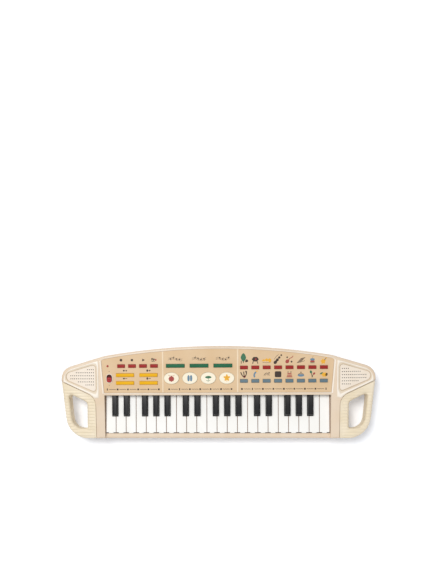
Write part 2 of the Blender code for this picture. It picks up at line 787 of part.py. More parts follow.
def grip_grooves():
    """Shallow grooves across the grip's top, which leave a rib between each two and follow the top's slopes."""
    count = int((DECK_Y - FRONT_Y - GRIP_EDGE_R) / RIB_PITCH)
    groove = RIB_PITCH - RIB_WIDTH
    middles = [DECK_Y - RIB_PITCH * (k + 0.5) for k in range(count)]
    bars = joined([box("groove", (CHEEK_OUT + RIM_R, y - groove / 2, 0), (HALF_LENGTH + CLEAR, y + groove / 2, SKY))
                   for y in middles])
    return cut(bars, roof("under_grooves", GRIP_DROP + RIB_DEEP))


def grille_holes():
    """Centres of the right grille's sound holes: level rows that fill the triangle."""
    edge = [Vector(point) for point in grille_outline(-HOLE_MARGIN - HOLE_R)]
    rear = max(point.y for point in edge)
    holes = []
    for row in range(HOLE_ROWS):
        y = rear - HOLE_ROW_PITCH * (row + 0.6)
        crossings = []
        for start, end in zip(edge, edge[1:] + edge[:1]):
            if (start.y - y) * (end.y - y) < 0:
                crossings.append(start.x + (end.x - start.x) * (y - start.y) / (end.y - start.y))
        if len(crossings) < 2:
            continue
        left, right = min(crossings), max(crossings)
        for k in range(int((right - left) / HOLE_PITCH) + 1):
            holes.append((left + k * HOLE_PITCH, y))
    return holes


def right_grille(material):
    """Perforated insert that lies on a ledge in the right wing."""
    holes = [ellipse(x, y, 2 * HOLE_R, 2 * HOLE_R, 6) for x, y in grille_holes()]
    obj = plate("right_speaker_grille", [grille_outline(), *holes], -GRILLE_SUNK - GRILLE_THICK, -GRILLE_SUNK,
                wing_frame())
    return dress(obj, material)


def right_speaker(material):
    """Small loudspeaker under the right grille: cone, rim, basket and magnet, turned about its axis."""
    rim = -(GRILLE_SUNK + GRILLE_THICK + FIT + LEDGE_THICK + FIT)
    profile = [
        (0, rim - 0.0022), (0.0032, rim - 0.0030), (0.0045, rim - 0.0042), (SPEAKER_R - 0.0030, rim - 0.0008),
        (SPEAKER_R - 0.0016, rim), (SPEAKER_R, rim), (SPEAKER_R, rim - 0.0014), (SPEAKER_R - 0.0018, rim - 0.0020),
        (MAGNET_R, rim - SPEAKER_DEEP * 0.6), (MAGNET_R, rim - SPEAKER_DEEP), (0, rim - SPEAKER_DEEP),
    ]
    mesh = bpy.data.meshes.new("right_speaker")
    mesh.from_pydata([(r, 0, z) for r, z in profile], [(k, k + 1) for k in range(len(profile) - 1)], [])
    obj = new_object("right_speaker", mesh)
    screw = obj.modifiers.new("turn", "SCREW")
    screw.steps = screw.render_steps = 12
    screw.use_merge_vertices = True
    screw.merge_threshold = 0.00001
    obj.data = evaluated_mesh(obj)
    obj.modifiers.clear()
    u, v = on_wing(WING_X + GRILLE_INSET - GRILLE_LEDGE + SPEAKER_IN, tip_centre().y + RIM_R / 2)
    obj.data.transform(wing_frame() @ Matrix.Translation((u, v, 0)))
    tidied(obj.data, outwards=True)
    return dress(obj, material, smooth=True)


# Keys


def key_left(index):
    """Left edge of a white key's share of the keybed."""
    return (index - WHITE_COUNT / 2) * WHITE_PITCH


def black_centre(index):
    """Middle of the black key after a white key, or None where the scale has none."""
    note = NATURALS[index % len(NATURALS)]
    if note not in PAIR_AND_TRIO or not 0 <= index < WHITE_COUNT - 1:
        return None
    return key_left(index + 1) + PAIR_AND_TRIO[note]


def white_neck(index):
    """Left and right of a white key between its black neighbours."""
    left, right = key_left(index) + KEY_GAP / 2, key_left(index + 1) - KEY_GAP / 2
    before, after = black_centre(index - 1), black_centre(index)
    notch = BLACK_WIDTH / 2 + BLACK_GAP
    return (left if before is None else before + notch, right if after is None else after - notch)


def white_outline(index, straight=False):
    """Plan of a white key with its neck. Its front corners are relieved by a shallow step, or its whole front is as
    far back as they are."""
    left, right = key_left(index) + KEY_GAP / 2, key_left(index + 1) - KEY_GAP / 2
    neck_left, neck_right = white_neck(index)
    front = KEYBED_Y + FRONT_GAP
    notch = BLACK_FRONT_Y - BLACK_GAP
    rear = PIVOT_Y + HOOK_REACH
    step = [(0, RELIEF_DEPTH)] if straight else [
        (0, RELIEF_DEPTH), (RELIEF_RUN - RELIEF_SLOPE, RELIEF_DEPTH), (RELIEF_RUN, 0)]
    outline = [(left + run, front + depth) for run, depth in step]
    outline += [(right - run, front + depth) for run, depth in reversed(step)]
    if neck_right < right:
        outline += [(right, notch), (neck_right, notch)]
    outline += [(neck_right, rear), (neck_left, rear)]
    if neck_left > left:
        outline += [(neck_left, notch), (left, notch)]
    return outline


def pivot_cut(left, right):
    """What a key's hook leaves open: a bore for the bead and a slot for the wall under it."""
    low, high = left - CLEAR, right + CLEAR
    bore = post("bore", PIVOT_Y, PIVOT_Z, BEAD_R + FIT, low, high, SIDE_ON)
    half = BEAD_WALL / 2 + SLOT_PLAY
    slot = box("slot", (low, PIVOT_Y - half, SKIRT_Z - CLEAR), (high, PIVOT_Y + half, PIVOT_Z))
    return bore, slot


def top_edge(edge):
    """Whether an edge bounds the highest flat face of its solid."""
    return rim_edge(edge) and all(vert.co.z > WHITE_Z - FIT for vert in edge.verts)


def white_key(number, material, parent):
    """White key: a shell with side walls, a contact plunger, and a hook that turns on the pivot bead."""
    index = number - 1
    outline = white_outline(index)
    obj = plate(f"white_key_{number:02d}", [outline], SKIRT_Z, WHITE_Z)
    bevel_edges(obj, top_edge, KEY_CHAMFER, 1)
    block = PIVOT_Y - HOOK_REACH
    inner = grown([(x, y, 0) for x, y in white_outline(index, straight=True)], -KEY_WALL)
    hollow = [(x, min(y, block)) for x, y, _ in inner]
    cut(obj, plate("hollow", [hollow], SKIRT_Z - CLEAR, WHITE_Z - WHITE_TOP))
    neck_left, neck_right = white_neck(index)
    add(obj, plunger((neck_left + neck_right) / 2, WHITE_Z - WHITE_TOP / 2))
    cut(obj, *pivot_cut(neck_left, neck_right))
    return hang_key(obj, (neck_left + neck_right) / 2, material, parent)


def plunger(x, top):
    """Square peg under a key that presses its contact dome."""
    half = PLUNGER / 2
    return box("plunger", (x - half, CONTACT_Y - half, SKIRT_Z), (x + half, CONTACT_Y + half, top))


def tapered(name, half_widths, fronts, rears, low, high):
    """Box whose top is narrower and shorter than its base."""
    obj = box(name, (-1, -1, low), (1, 1, high))
    for vert in obj.data.vertices:
        level = int(vert.co.z > (low + high) / 2)
        vert.co.x *= half_widths[level]
        vert.co.y = rears[level] if vert.co.y > 0 else fronts[level]
    return obj


def black_key(number, x, material, parent):
    """Black key: a low body between the white keys, under a tapered cap with a sloping front."""
    half = BLACK_WIDTH / 2
    rear = PIVOT_Y + HOOK_REACH
    under_lip = DECK_Y + WALL
    obj = box(f"black_key_{number:02d}", (-half, BLACK_FRONT_Y, SKIRT_Z), (half, rear, WHITE_Z - KEY_CHAMFER))
    cap_half, cap_front = half - BLACK_STEP, BLACK_FRONT_Y + BLACK_STEP
    cap_top = cap_half - BLACK_TAPER
    cap = tapered("cap", (cap_half, cap_top), (cap_front, cap_front + BLACK_SLOPE),
                  (under_lip + KEY_WALL, under_lip), WHITE_Z - KEY_WALL, WHITE_Z + BLACK_RISE)
    bevel_edges(cap, top_edge, KEY_CHAMFER * 2, 1)
    add(obj, cap)
    block = PIVOT_Y - HOOK_REACH
    cut(obj, box("hollow", (-half + KEY_WALL, BLACK_FRONT_Y + KEY_WALL, SKIRT_Z - CLEAR),
                 (half - KEY_WALL, block, WHITE_Z - WHITE_TOP - KEY_CHAMFER)))
    cut(obj, tapered("cap_hollow", (cap_half - KEY_WALL * 1.2, cap_top - KEY_WALL),
                     (cap_front + KEY_WALL * 1.2, cap_front + BLACK_SLOPE + KEY_WALL),
                     (under_lip - KEY_WALL, under_lip - KEY_WALL), SKIRT_Z + KEY_WALL,
                     WHITE_Z + BLACK_RISE - WHITE_TOP))
    add(obj, plunger(0, WHITE_Z + BLACK_RISE - WHITE_TOP / 2))
    cut(obj, *pivot_cut(-half, half))
    obj.data.transform(Matrix.Translation((x, 0, 0)))
    return hang_key(obj, x, material, parent)


def hang_key(obj, x, material, parent):
    """Puts a key's origin on its pivot line."""
    dress(obj, material)
    return place(obj, Matrix.Translation((x, PIVOT_Y, PIVOT_Z)), parent)


def contact_places():
    """Middle of every key at its contact, white keys and black keys."""
    whites = [sum(white_neck(index)) / 2 for index in range(WHITE_COUNT)]
    blacks = [black_centre(index) for index in range(WHITE_COUNT)]
    return whites + [x for x in blacks if x is not None]


# Boards


def key_board(material):
    """Circuit board under the keys, on the lower shell's posts."""
    span = KEYBED_HALF - 2 * WALL
    obj = box("key_board", (-span, CONTACT_Y - BOARD_FRONT, BOARD_Z - BOARD_THICK),
              (span, CONTACT_Y + BOARD_BACK, BOARD_Z))
    return dress(obj, material)


def contact_mat(material):
    """Silicone strip on the key board, with a dome under each key."""
    span = KEYBED_HALF - 2 * WALL
    obj = box("contact_mat", (-span, CONTACT_Y - MAT_DEPTH / 2, MAT_Z - MAT_THICK),
              (span, CONTACT_Y + MAT_DEPTH / 2, MAT_Z))
    domes = [post("dome", x, CONTACT_Y, DOME_R, MAT_Z - MAT_THICK / 2, DOME_Z, tip=DOME_TIP_R, segments=6)
             for x in contact_places()]
    add(obj, joined(domes))
    return dress(obj, material)


def panel_board(material):
    """Circuit board behind the control panel, with the power light on it."""
    seat = PANEL_SUNK + PANEL_THICK + FIT + RUNNER_THICK + BUTTON_TRAVEL + FIT
    half = KEYBED_HALF - PANEL_BOARD_EDGE
    front, rear = (panel_row(row) for row in PANEL_BOARD_ROWS)
    obj = box("panel_board", (-half, front, -seat - BOARD_THICK), (half, rear, -seat), deck_frame())
    x, y = light_place()
    add(obj, post("light", x, y, LIGHT_R, -seat - BOARD_THICK / 2, CAP_PROUD / 2, deck_frame(), tip=LIGHT_R * 0.8))
    return dress(obj, material)


# Control panel


def panel_row(row):
    """Distance up the deck of a row that is measured from the panel's front edge."""
    return (PANEL_Y - DECK_Y) / math.cos(DECK_TILT) + row


def light_place():
    """Power light on the deck."""
    return -KEYBED_HALF + LIGHT_X, panel_row(UPPER_ROW)


def switch_place():
    """Middle of the power switch's slot on the deck."""
    return -KEYBED_HALF + SWITCH_X, panel_row(SWITCH_ROW)


def bank_caps(middle, row, columns, pitch, rows=1, row_pitch=0.0):
    """Cap centres of a bank of buttons, spread evenly about its middle."""
    return [
        (middle + (c - (columns - 1) / 2) * pitch, panel_row(row) + (r - (rows - 1) / 2) * row_pitch)
        for r in range(rows) for c in range(columns)
    ]


def banks():
    """Every bank of buttons: its name, cap size and cap centres."""
    left = -KEYBED_HALF + LEFT_FIELD_X
    right = KEYBED_HALF - RIGHT_FIELD_X
    return [
        ("transport_buttons", SMALL_CAP, bank_caps(left + TRANSPORT_SHIFT, UPPER_ROW, 4, SMALL_PITCH)),
        ("level_buttons", LEVEL_CAP, bank_caps(left, LEVEL_MID_ROW, 2, LEVEL_PITCH, 2, LEVEL_ROW)),
        ("song_buttons", SONG_CAP, bank_caps(MIDDLE_FIELD_X, UPPER_ROW, 3, SONG_PITCH)),
        ("voice_buttons", SMALL_CAP, bank_caps(right, VOICE_ROW, 8, VOICE_PITCH)),
        ("rhythm_buttons", SMALL_CAP, bank_caps(right, RHYTHM_ROW, 8, VOICE_PITCH)),
    ]


def pad_places():
    """Centres of the oval drum pads."""
    return bank_caps(MIDDLE_FIELD_X, PAD_ROW, PAD_COUNT, PAD_PITCH)


def stud_places():
    """Studs under the panel that the panel board is screwed to, between the banks."""
    left = -KEYBED_HALF + LEFT_FIELD_X
    between = (left + LEVEL_PITCH + MIDDLE_FIELD_X - 2 * PAD_PITCH) / 2
    right = MIDDLE_FIELD_X + 2 * PAD_PITCH + STUD_R
    ends = (left - SMALL_PITCH * 2 - STUD_R, KEYBED_HALF - LIGHT_X)
    row = panel_row((VOICE_ROW + RHYTHM_ROW) / 2)
    return [(ends[0], panel_row(UPPER_ROW)), (between, row), (right, row), (ends[1], row)]


def control_panel(material):
    """Fascia plate in the deck, with a hole for every cap, a ring round the power switch and studs beneath."""
    top = -PANEL_SUNK
    obj = plate("control_panel", [panel_outline()], top - PANEL_THICK, top, deck_frame())
    ring = rectangle(*switch_place(), SWITCH_SLOT[0] + 2 * SWITCH_RING, SWITCH_SLOT[1] + 2 * SWITCH_RING,
                     SWITCH_SLOT[0] / 2 + SWITCH_RING - FIT)
    add(obj, plate("switch_ring", [ring], top - PANEL_THICK / 2, top + SWITCH_RING_RISE, deck_frame()))
    board_top = -(PANEL_SUNK + PANEL_THICK + FIT + RUNNER_THICK + BUTTON_TRAVEL)
    add(obj, joined([post("stud", x, y, STUD_R, board_top, top - PANEL_THICK / 2, deck_frame())
                     for x, y in stud_places()]))
    cut(obj, joined([plate("hole", [hole], top - CLEAR, CLEAR, deck_frame()) for hole in panel_holes()]))
    return dress(obj, material)


def panel_holes():
    """Outlines on the deck of every hole in the panel: caps, pads, switch slot and light."""
    play = 2 * CAP_FIT
    holes = [rectangle(x, y, cap[0] + play, cap[1] + play) for _, cap, spots in banks() for x, y in spots]
    holes += [ellipse(x, y, PAD_SIZE[0] + play, PAD_SIZE[1] + play, PAD_SEGMENTS) for x, y in pad_places()]
    slot = rectangle(*switch_place(), *SWITCH_SLOT, SWITCH_SLOT[0] / 2 - FIT)
    light = ellipse(*light_place(), 2 * LIGHT_R + play, 2 * LIGHT_R + play, 12)
    return holes + [slot, light]


def button_bank(name, cap, spots, material, parent):
    """One moulding: a flat runner under the panel, with a cap standing through each hole."""
    runner_top = -(PANEL_SUNK + PANEL_THICK + FIT)
    left, right = min(x for x, _ in spots), max(x for x, _ in spots)
    front, rear = min(y for _, y in spots), max(y for _, y in spots)
    runner = rectangle((left + right) / 2, (front + rear) / 2, right - left + cap[0] + 2 * RUNNER_EDGE,
                       rear - front + cap[1] + 2 * RUNNER_EDGE, RUNNER_EDGE)
    obj = plate(name, [runner], runner_top - RUNNER_THICK, runner_top)
    caps = [bevel_edges(box("cap", (x - cap[0] / 2, y - cap[1] / 2, runner_top - RUNNER_THICK / 2),
                            (x + cap[0] / 2, y + cap[1] / 2, CAP_PROUD)), highest_edge, CAP_CHAMFER, 1)
            for x, y in spots]
    add(obj, joined(caps))
    obj.data.transform(deck_frame())
    frame = deck_frame() @ Matrix.Translation(((left + right) / 2, (front + rear) / 2, 0))
    return place(dress(obj, material), frame, parent)


def highest_edge(edge):
    """Whether an edge bounds the top of a cap that stands on the deck's own frame."""
    return rim_edge(edge) and all(vert.co.z > CAP_PROUD - FIT for vert in edge.verts)


def drum_pad(number, x, y, material, parent):
    """Oval pad with a flange under the panel."""
    flange_top = -(PANEL_SUNK + PANEL_THICK + FIT)
    edge = 2 * RUNNER_EDGE
    obj = plate(f"drum_pad_{number}", [ellipse(x, y, PAD_SIZE[0] + edge, PAD_SIZE[1] + edge, PAD_SEGMENTS)],
                flange_top - RUNNER_THICK, flange_top)
    cap = plate("pad_cap", [ellipse(x, y, *PAD_SIZE, PAD_SEGMENTS)], flange_top - RUNNER_THICK / 2, CAP_PROUD)
    add(obj, bevel_edges(cap, highest_edge, CAP_CHAMFER * 2, 1))
    obj.data.transform(deck_frame())
    return place(dress(obj, material, smooth=True), deck_frame() @ Matrix.Translation((x, y, 0)), parent)


def power_switch(material, parent):
    """Round slide knob on a plate that covers its slot at both ends of the travel."""
    x, y = switch_place()
    travel = SWITCH_SLOT[1] - SWITCH_KNOB - 2 * FIT
    y -= travel / 2
    top = -(PANEL_SUNK + PANEL_THICK + FIT)
    cover = rectangle(x, y, SWITCH_SLOT[0] + RUNNER_EDGE, SWITCH_SLOT[1] + travel + RUNNER_EDGE, RUNNER_EDGE)
    obj = plate("power_switch", [cover], top - RUNNER_THICK, top)
    width = SWITCH_SLOT[0] - 2 * FIT
    knob = rectangle(x, y, width, SWITCH_KNOB, width / 2 - 2 * FIT)
    add(obj, bevel_edges(plate("knob", [knob], top - RUNNER_THICK / 2, CAP_PROUD), highest_edge, CAP_CHAMFER, 1))
    obj.data.transform(deck_frame())
    return place(dress(obj, material), deck_frame() @ Matrix.Translation((x, y, 0)), parent)


def battery_door(material):
    """Door flush with the floor, with a round front edge that it turns on and a hole for its screw."""
    half, front, rear, _ = bay_size()
    radius = DOOR_THICK / 2
    low, high = FLOOR_Z, FLOOR_Z + DOOR_THICK
    hinge_y = front - DOOR_LIP + radius
    rounding = [math.pi * (1.5 - k / 6) for k in range(7)]
    side = [(hinge_y + radius * math.cos(a), low + radius + radius * math.sin(a)) for a in rounding]
    side += [(rear + DOOR_LIP, high), (rear + DOOR_LIP, low)]
    obj = plate("battery_door", [side], -half - DOOR_LIP, half + DOOR_LIP, SIDE_ON)
    cut(obj, post("door_screw", 0, rear - DOOR_LIP, DOOR_SCREW_R, -CLEAR, CLEAR * 2))
    return place(dress(obj, material), Matrix.Translation((0, hinge_y, low + radius)))


# Assembly


def panel_axes():
    """Empty that carries the sloping deck's frame, for what slides square to it."""
    empty = bpy.data.objects.new("deck_axes", None)
    PARTS.objects.link(empty)
    empty.matrix_world = deck_frame()
    bpy.context.view_layer.update()
    return empty


def pivot_line():
    """Empty on the line that all the keys turn about."""
    empty = bpy.data.objects.new("key_pivot", None)
    PARTS.objects.link(empty)
    empty.matrix_world = Matrix.Translation((0, PIVOT_Y, PIVOT_Z))
    bpy.context.view_layer.update()
    return empty


def housings():
    """The two shells of the closed housing."""
    shell = housing_shell()
    upper_housing(shell, finish("cream_abs_upper", "EFE1CC", 0.45))
    lower_housing(shell, finish("cream_abs_lower", "EBDCC6", 0.5))
    bpy.data.objects.remove(shell)


def sides():
    """Grips, grilles and speakers on both sides."""
    grip = right_grip(finish("cream_grip_abs", "EFE3CB", 0.6))
    other_side(grip, "left_handle")
    grille = right_grille(finish("cream_grille_abs", "EFE3D5", 0.5))
    other_side(grille, "left_speaker_grille")
    speaker = right_speaker(finish("black_paper_cone", "26262A", 0.8))
    other_side(speaker, "left_speaker")


def keyboard():
    """Every key on the pivot line."""
    pivot = pivot_line()
    ivory = finish("ivory_gloss_abs", "FBFAF5", 0.25)
    ebony = finish("black_satin_abs", "2C2C31", 0.35)
    for number in range(1, WHITE_COUNT + 1):
        white_key(number, ivory, pivot)
    centres = [black_centre(index) for index in range(WHITE_COUNT)]
    for number, x in enumerate([x for x in centres if x is not None], start=1):
        black_key(number, x, ebony, pivot)


def controls():
    """Control panel, its button banks, drum pads and power switch."""
    axes = panel_axes()
    control_panel(finish("tan_panel_abs", "E6C8A2", 0.5))
    colours = {
        "transport_buttons": "B0403B", "level_buttons": "F4BF20", "song_buttons": "38704E",
        "voice_buttons": "B2423D", "rhythm_buttons": "7691A0",
    }
    for name, cap, spots in banks():
        button_bank(name, cap, spots, finish(name + "_abs", colours[name], 0.4), axes)
    cream = finish("cream_pad_abs", "F8F0DA", 0.4)
    for number, (x, y) in enumerate(pad_places(), start=1):
        drum_pad(number, x, y, cream, axes)
    power_switch(finish("red_switch_abs", "B83230", 0.35), axes)


def boards():
    """What makes the contacts and the light."""
    key_board(finish("brown_paper_board", "8A6A3C", 0.6))
    contact_mat(finish("grey_silicone", "8E9093", 0.7))
    panel_board(finish("brown_panel_board", "8A6A3C", 0.6))


clear_scene()
PARTS = collection("portable_keyboard")
housings()
sides()
keyboard()
controls()
boards()
battery_door(finish("cream_abs_door", "EBDCC6", 0.5))
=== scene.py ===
"""Looks of a portable toy keyboard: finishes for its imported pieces, keys, grips, trim, printed marks and a stage.

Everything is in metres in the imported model's frame: X along the keys, Y to the rear, Z up. A shape is worked out as
whole arrays: rows of points along a profile, columns round an outline or along a path.
"""

import json
import math

import bmesh
import bpy
import numpy as np
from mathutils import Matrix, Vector

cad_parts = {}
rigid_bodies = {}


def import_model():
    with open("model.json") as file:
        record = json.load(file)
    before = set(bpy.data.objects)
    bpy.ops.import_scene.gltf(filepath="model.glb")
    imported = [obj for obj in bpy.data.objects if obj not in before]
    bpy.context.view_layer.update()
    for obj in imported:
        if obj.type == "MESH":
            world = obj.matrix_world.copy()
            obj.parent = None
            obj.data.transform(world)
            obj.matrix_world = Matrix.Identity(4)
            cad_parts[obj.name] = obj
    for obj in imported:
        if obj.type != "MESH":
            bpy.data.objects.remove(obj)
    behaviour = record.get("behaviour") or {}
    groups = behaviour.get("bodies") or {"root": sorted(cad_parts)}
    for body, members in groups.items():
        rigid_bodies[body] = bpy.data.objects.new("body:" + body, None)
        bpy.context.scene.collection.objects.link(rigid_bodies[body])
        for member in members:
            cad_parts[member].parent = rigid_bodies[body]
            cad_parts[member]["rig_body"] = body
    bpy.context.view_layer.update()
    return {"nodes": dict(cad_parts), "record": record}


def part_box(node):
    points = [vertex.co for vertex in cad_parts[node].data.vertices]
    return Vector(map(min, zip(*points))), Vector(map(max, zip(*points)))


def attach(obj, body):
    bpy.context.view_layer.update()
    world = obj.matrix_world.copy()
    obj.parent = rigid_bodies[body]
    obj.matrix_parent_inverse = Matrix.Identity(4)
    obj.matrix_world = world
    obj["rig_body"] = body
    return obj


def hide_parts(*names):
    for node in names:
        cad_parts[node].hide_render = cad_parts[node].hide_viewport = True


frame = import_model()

bl_info = {
    "name": "Portable keyboard looks",
    "version": (1, 1, 0),
    "blender": (4, 5, 0),
    "location": "View3D > Sidebar > Keyboard",
    "description": "Finishes, keys, grips, trim and printed marks of a portable toy keyboard around its packed model",
    "category": "Object",
}

MM = 0.001

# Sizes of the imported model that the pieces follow, in mm: the sloping deck starts at its front edge, and the wings
# fall outwards from the wing line
DECK_Y, DECK_Z = -4.5, 43.0
TILT, FALL = math.radians(4.0), math.radians(5.0)
CHEEK_SLOPE = 8.0 / 73.8
WING_X = 201.35
FRONT_Y = -78.3
CAP_TOP = 1.6
GRIP_BOTTOM, GRIP_DROP, SEAM_SET = 8.0, 1.0, 0.35
FOOT_ROWS, FOOT_COLUMNS = (-63.2, 49.27), (184.85, 63.78)
PANEL_SIDE = (191.35, -0.1), (195.84, 55.76)
REAR_BOW_R, REAR_Y, BORDER = 1150.0, 78.3, 5.2
SWITCH, LIGHT = (-182.35, 28.61), (-185.05, 49.61)
KEY_PITCH, KEY_END, PLAIN_JOINTS = 17.3, 189.75, (2, 6, 9, 13, 16, 20)
SCREWS = [(63.78, 70.73), (159.46, 61.39), (198.6, -61.1), (198.6, -4.5), (252.2, 24.31)]
DOOR_SCREW = (0.0, 68.5)

# Outlines of the right side in mm, as corners (x, y, radius)
WHOLE = [(255.78, -78.3, 38.0), (268.21, 39.94, 21.5), (191.35, 62.27, 60.0), (150.0, 68.48, 0.0), (150.0, -78.3, 0.0)]
GRIP = [(206.35, -78.3, 0.0), (255.78, -78.3, 38.0), (266.08, 19.68, 0.0), (206.35, -8.3, 21.5)]
FINGER_HOLE = [(221.85, -60.9, 3.5), (247.56, -60.9, 20.0), (253.88, -0.74, 4.0), (221.85, -16.36, 8.0)]
POD = [(200.6, -9.0, 2.0), (208.8, -10.2, 1.5), (216.0, -3.46, 12.0), (266.14, 20.26, 0.0), (268.21, 39.94, 21.5),
       (200.6, 59.58, 2.0)]
POD_INSETS = (0.0, 0.5, 0.5, 3.6, 4.8, 0.0)
GRILLE = [(205.85, 1.02, 4.0), (272.11, 28.6, 7.7), (205.85, 47.85, 5.0)]


# Colours and nodes


def linear(colour):
    """Linear RGBA of an sRGB hex colour."""
    channels = [int(colour[k:k + 2], 16) / 255 for k in (0, 2, 4)]
    return [c / 12.92 if c <= 0.04045 else ((c + 0.055) / 1.055) ** 2.4 for c in channels] + [1.0]


def add_node(tree, kind, settings=None, values=None, links=None):
    """Adds one shader node, sets its properties and sockets, and links sockets from other nodes."""
    node = tree.nodes.new(kind)
    for name, value in (settings or {}).items():
        setattr(node, name, value)
    for name, value in (values or {}).items():
        node.inputs[name].default_value = value
    for name, source in (links or {}).items():
        tree.links.new(source, node.inputs[name])
    return node


def new_material(name, roughness, **constants):
    """Node tree and Principled shader of a new material, with what is the same all over set on the shader."""
    made = bpy.data.materials.new(name)
    made.use_nodes = True
    tree = made.node_tree
    shader = tree.nodes["Principled BSDF"]
    shader.inputs["Roughness"].default_value = roughness
    for socket, value in constants.items():
        shader.inputs[socket.replace("_", " ")].default_value = value
    return made, tree, shader


def clouds(tree, place, size, low, high, colours, detail=3.0):
    """Colour that wanders between two hex colours in clouds of a size in mm."""
    noise = add_node(tree, "ShaderNodeTexNoise", values={"Scale": 1 / (size * MM), "Detail": detail}, links={"Vector": place})
    ramp = add_node(tree, "ShaderNodeValToRGB", links={"Fac": noise.outputs["Fac"]})
    for element, position, colour in zip(ramp.color_ramp.elements, (low, high), colours):
        element.position = position
        element.color = linear(colour)
    return ramp.outputs["Color"]


def grained(tree, shader, place, grain, roughness, spread, bump):
    """Fine grain of a size in mm that carries both the sheen and the relief of a surface."""
    fine = add_node(tree, "ShaderNodeTexNoise", values={"Scale": 1 / (grain * MM), "Detail": 2.0}, links={"Vector": place})
    sheen = add_node(tree, "ShaderNodeMapRange", links={"Value": fine.outputs["Fac"]},
                     values={"To Min": roughness - spread, "To Max": roughness + spread})
    tree.links.new(sheen.outputs["Result"], shader.inputs["Roughness"])
    relief = add_node(tree, "ShaderNodeBump", links={"Height": fine.outputs["Fac"]},
                      values={"Strength": bump, "Distance": 0.05 * MM})
    tree.links.new(relief.outputs["Normal"], shader.inputs["Normal"])


def moulded(name, colour, aged, roughness, grain, bump, coat=0.0, gloss=0.5):
    """Injection-moulded ABS: an even colour that has yellowed in soft clouds 35 mm across, and the spark-eroded
    grain of its mould, which scatters its highlights. Gloss pieces come from a polished mould and get a clear coat."""
    made, tree, shader = new_material(name, roughness, IOR=1.53, Coat_Weight=coat, Coat_Roughness=0.08, Specular_IOR_Level=gloss)
    place = add_node(tree, "ShaderNodeTexCoord").outputs["Object"]
    tree.links.new(clouds(tree, place, 35, 0.35, 0.80, (colour, aged)), shader.inputs["Base Color"])
    grained(tree, shader, place, grain, roughness, 0.07, bump)
    return made


def sharp_key(name):
    """Black ABS of the sharps: dark at the front and lighter and greyer behind, with the change over the 17 mm between.
    The lighter rear is a painted sheen, standing in for the reflection on the rear of their tops."""
    made, tree, shader = new_material(name, 0.36, IOR=1.53, Specular_IOR_Level=0.3)
    place = add_node(tree, "ShaderNodeTexCoord").outputs["Object"]
    across = add_node(tree, "ShaderNodeSeparateXYZ", links={"Vector": place})
    share = add_node(tree, "ShaderNodeMapRange", {"interpolation_type": "SMOOTHSTEP"}, links={"Value": across.outputs["Y"]},
                     values={"From Min": -25 * MM, "From Max": -8 * MM})
    # Painted sheen: the rear colours are lighter than the front ones.
    mixed = add_node(tree, "ShaderNodeMixRGB", links={
        "Fac": share.outputs["Result"], "Color1": clouds(tree, place, 12, 0.3, 0.8, ("111215", "17181B")),
        "Color2": clouds(tree, place, 9, 0.3, 0.8, ("262628", "2E2D2D"))})
    tree.links.new(mixed.outputs["Color"], shader.inputs["Base Color"])
    grained(tree, shader, place, 0.45, 0.38, 0.08, 0.06)
    return made


def rim_with_painted_crest_highlight(name):
    """Cream ABS of the speaker rims: lighter on the crest, a painted highlight, and darker in the groove, painted
    shade.
    The mesh's own attribute says how high each point is on the crest."""
    made, tree, shader = new_material(name, 0.46, IOR=1.53)
    place = add_node(tree, "ShaderNodeTexCoord").outputs["Object"]
    crest_share = add_node(tree, "ShaderNodeAttribute", {"attribute_name": "crest"})
    # Color1 is the groove's painted shade, Color2 the crest's painted highlight.
    mixed = add_node(tree, "ShaderNodeMixRGB", links={
        "Fac": crest_share.outputs["Fac"], "Color1": clouds(tree, place, 20, 0.35, 0.8, ("E6D7C1", "DFCEB5")),
        "Color2": clouds(tree, place, 20, 0.35, 0.8, ("FCF4E9", "F6ECDD"))})
    tree.links.new(mixed.outputs["Color"], shader.inputs["Base Color"])
    grained(tree, shader, place, 0.40, 0.46, 0.07, 0.08)
    return made


def grille_with_painted_hole_shade(name):
    """Cream ABS of the speaker grilles, with dark brown painted shade on the walls of the holes, which starts 0.2 mm
    under their top. How deep a point lies is the wing's height over it, a plane in X and Y on each side, less its own
    Z."""
    made, tree, shader = new_material(name, 0.48, IOR=1.53, Specular_IOR_Level=0.4)
    place = add_node(tree, "ShaderNodeTexCoord").outputs["Object"]
    part = add_node(tree, "ShaderNodeSeparateXYZ", links={"Vector": place}).outputs
    fall, tilt = math.tan(FALL) / math.cos(TILT), math.tan(TILT)
    side = add_node(tree, "ShaderNodeMath", {"operation": "ABSOLUTE"}, links={0: part["X"]})
    level = add_node(tree, "ShaderNodeMath", {"operation": "MULTIPLY_ADD"}, links={0: side.outputs[0]},
                     values={1: -fall, 2: (DECK_Z - DECK_Y * tilt + WING_X * fall) * MM})
    wing = add_node(tree, "ShaderNodeMath", {"operation": "MULTIPLY_ADD"}, links={0: part["Y"], 2: level.outputs[0]},
                    values={1: tilt})
    deep = add_node(tree, "ShaderNodeMath", {"operation": "SUBTRACT"}, links={0: wing.outputs[0], 1: part["Z"]})
    hole_shade = add_node(tree, "ShaderNodeMapRange", links={"Value": deep.outputs[0]},
                    values={"From Min": 0.45 * MM, "From Max": 0.7 * MM})
    # Color2 is the painted shade on the hole walls.
    mixed = add_node(tree, "ShaderNodeMixRGB", links={
        "Fac": hole_shade.outputs["Result"], "Color1": clouds(tree, place, 35, 0.35, 0.80, ("F2E6D7", "EDDDC9")),
        "Color2": clouds(tree, place, 4, 0.3, 0.8, ("3A2A20", "57402F"))})
    tree.links.new(mixed.outputs["Color"], shader.inputs["Base Color"])
    grained(tree, shader, place, 0.40, 0.48, 0.07, 0.08)
    return made


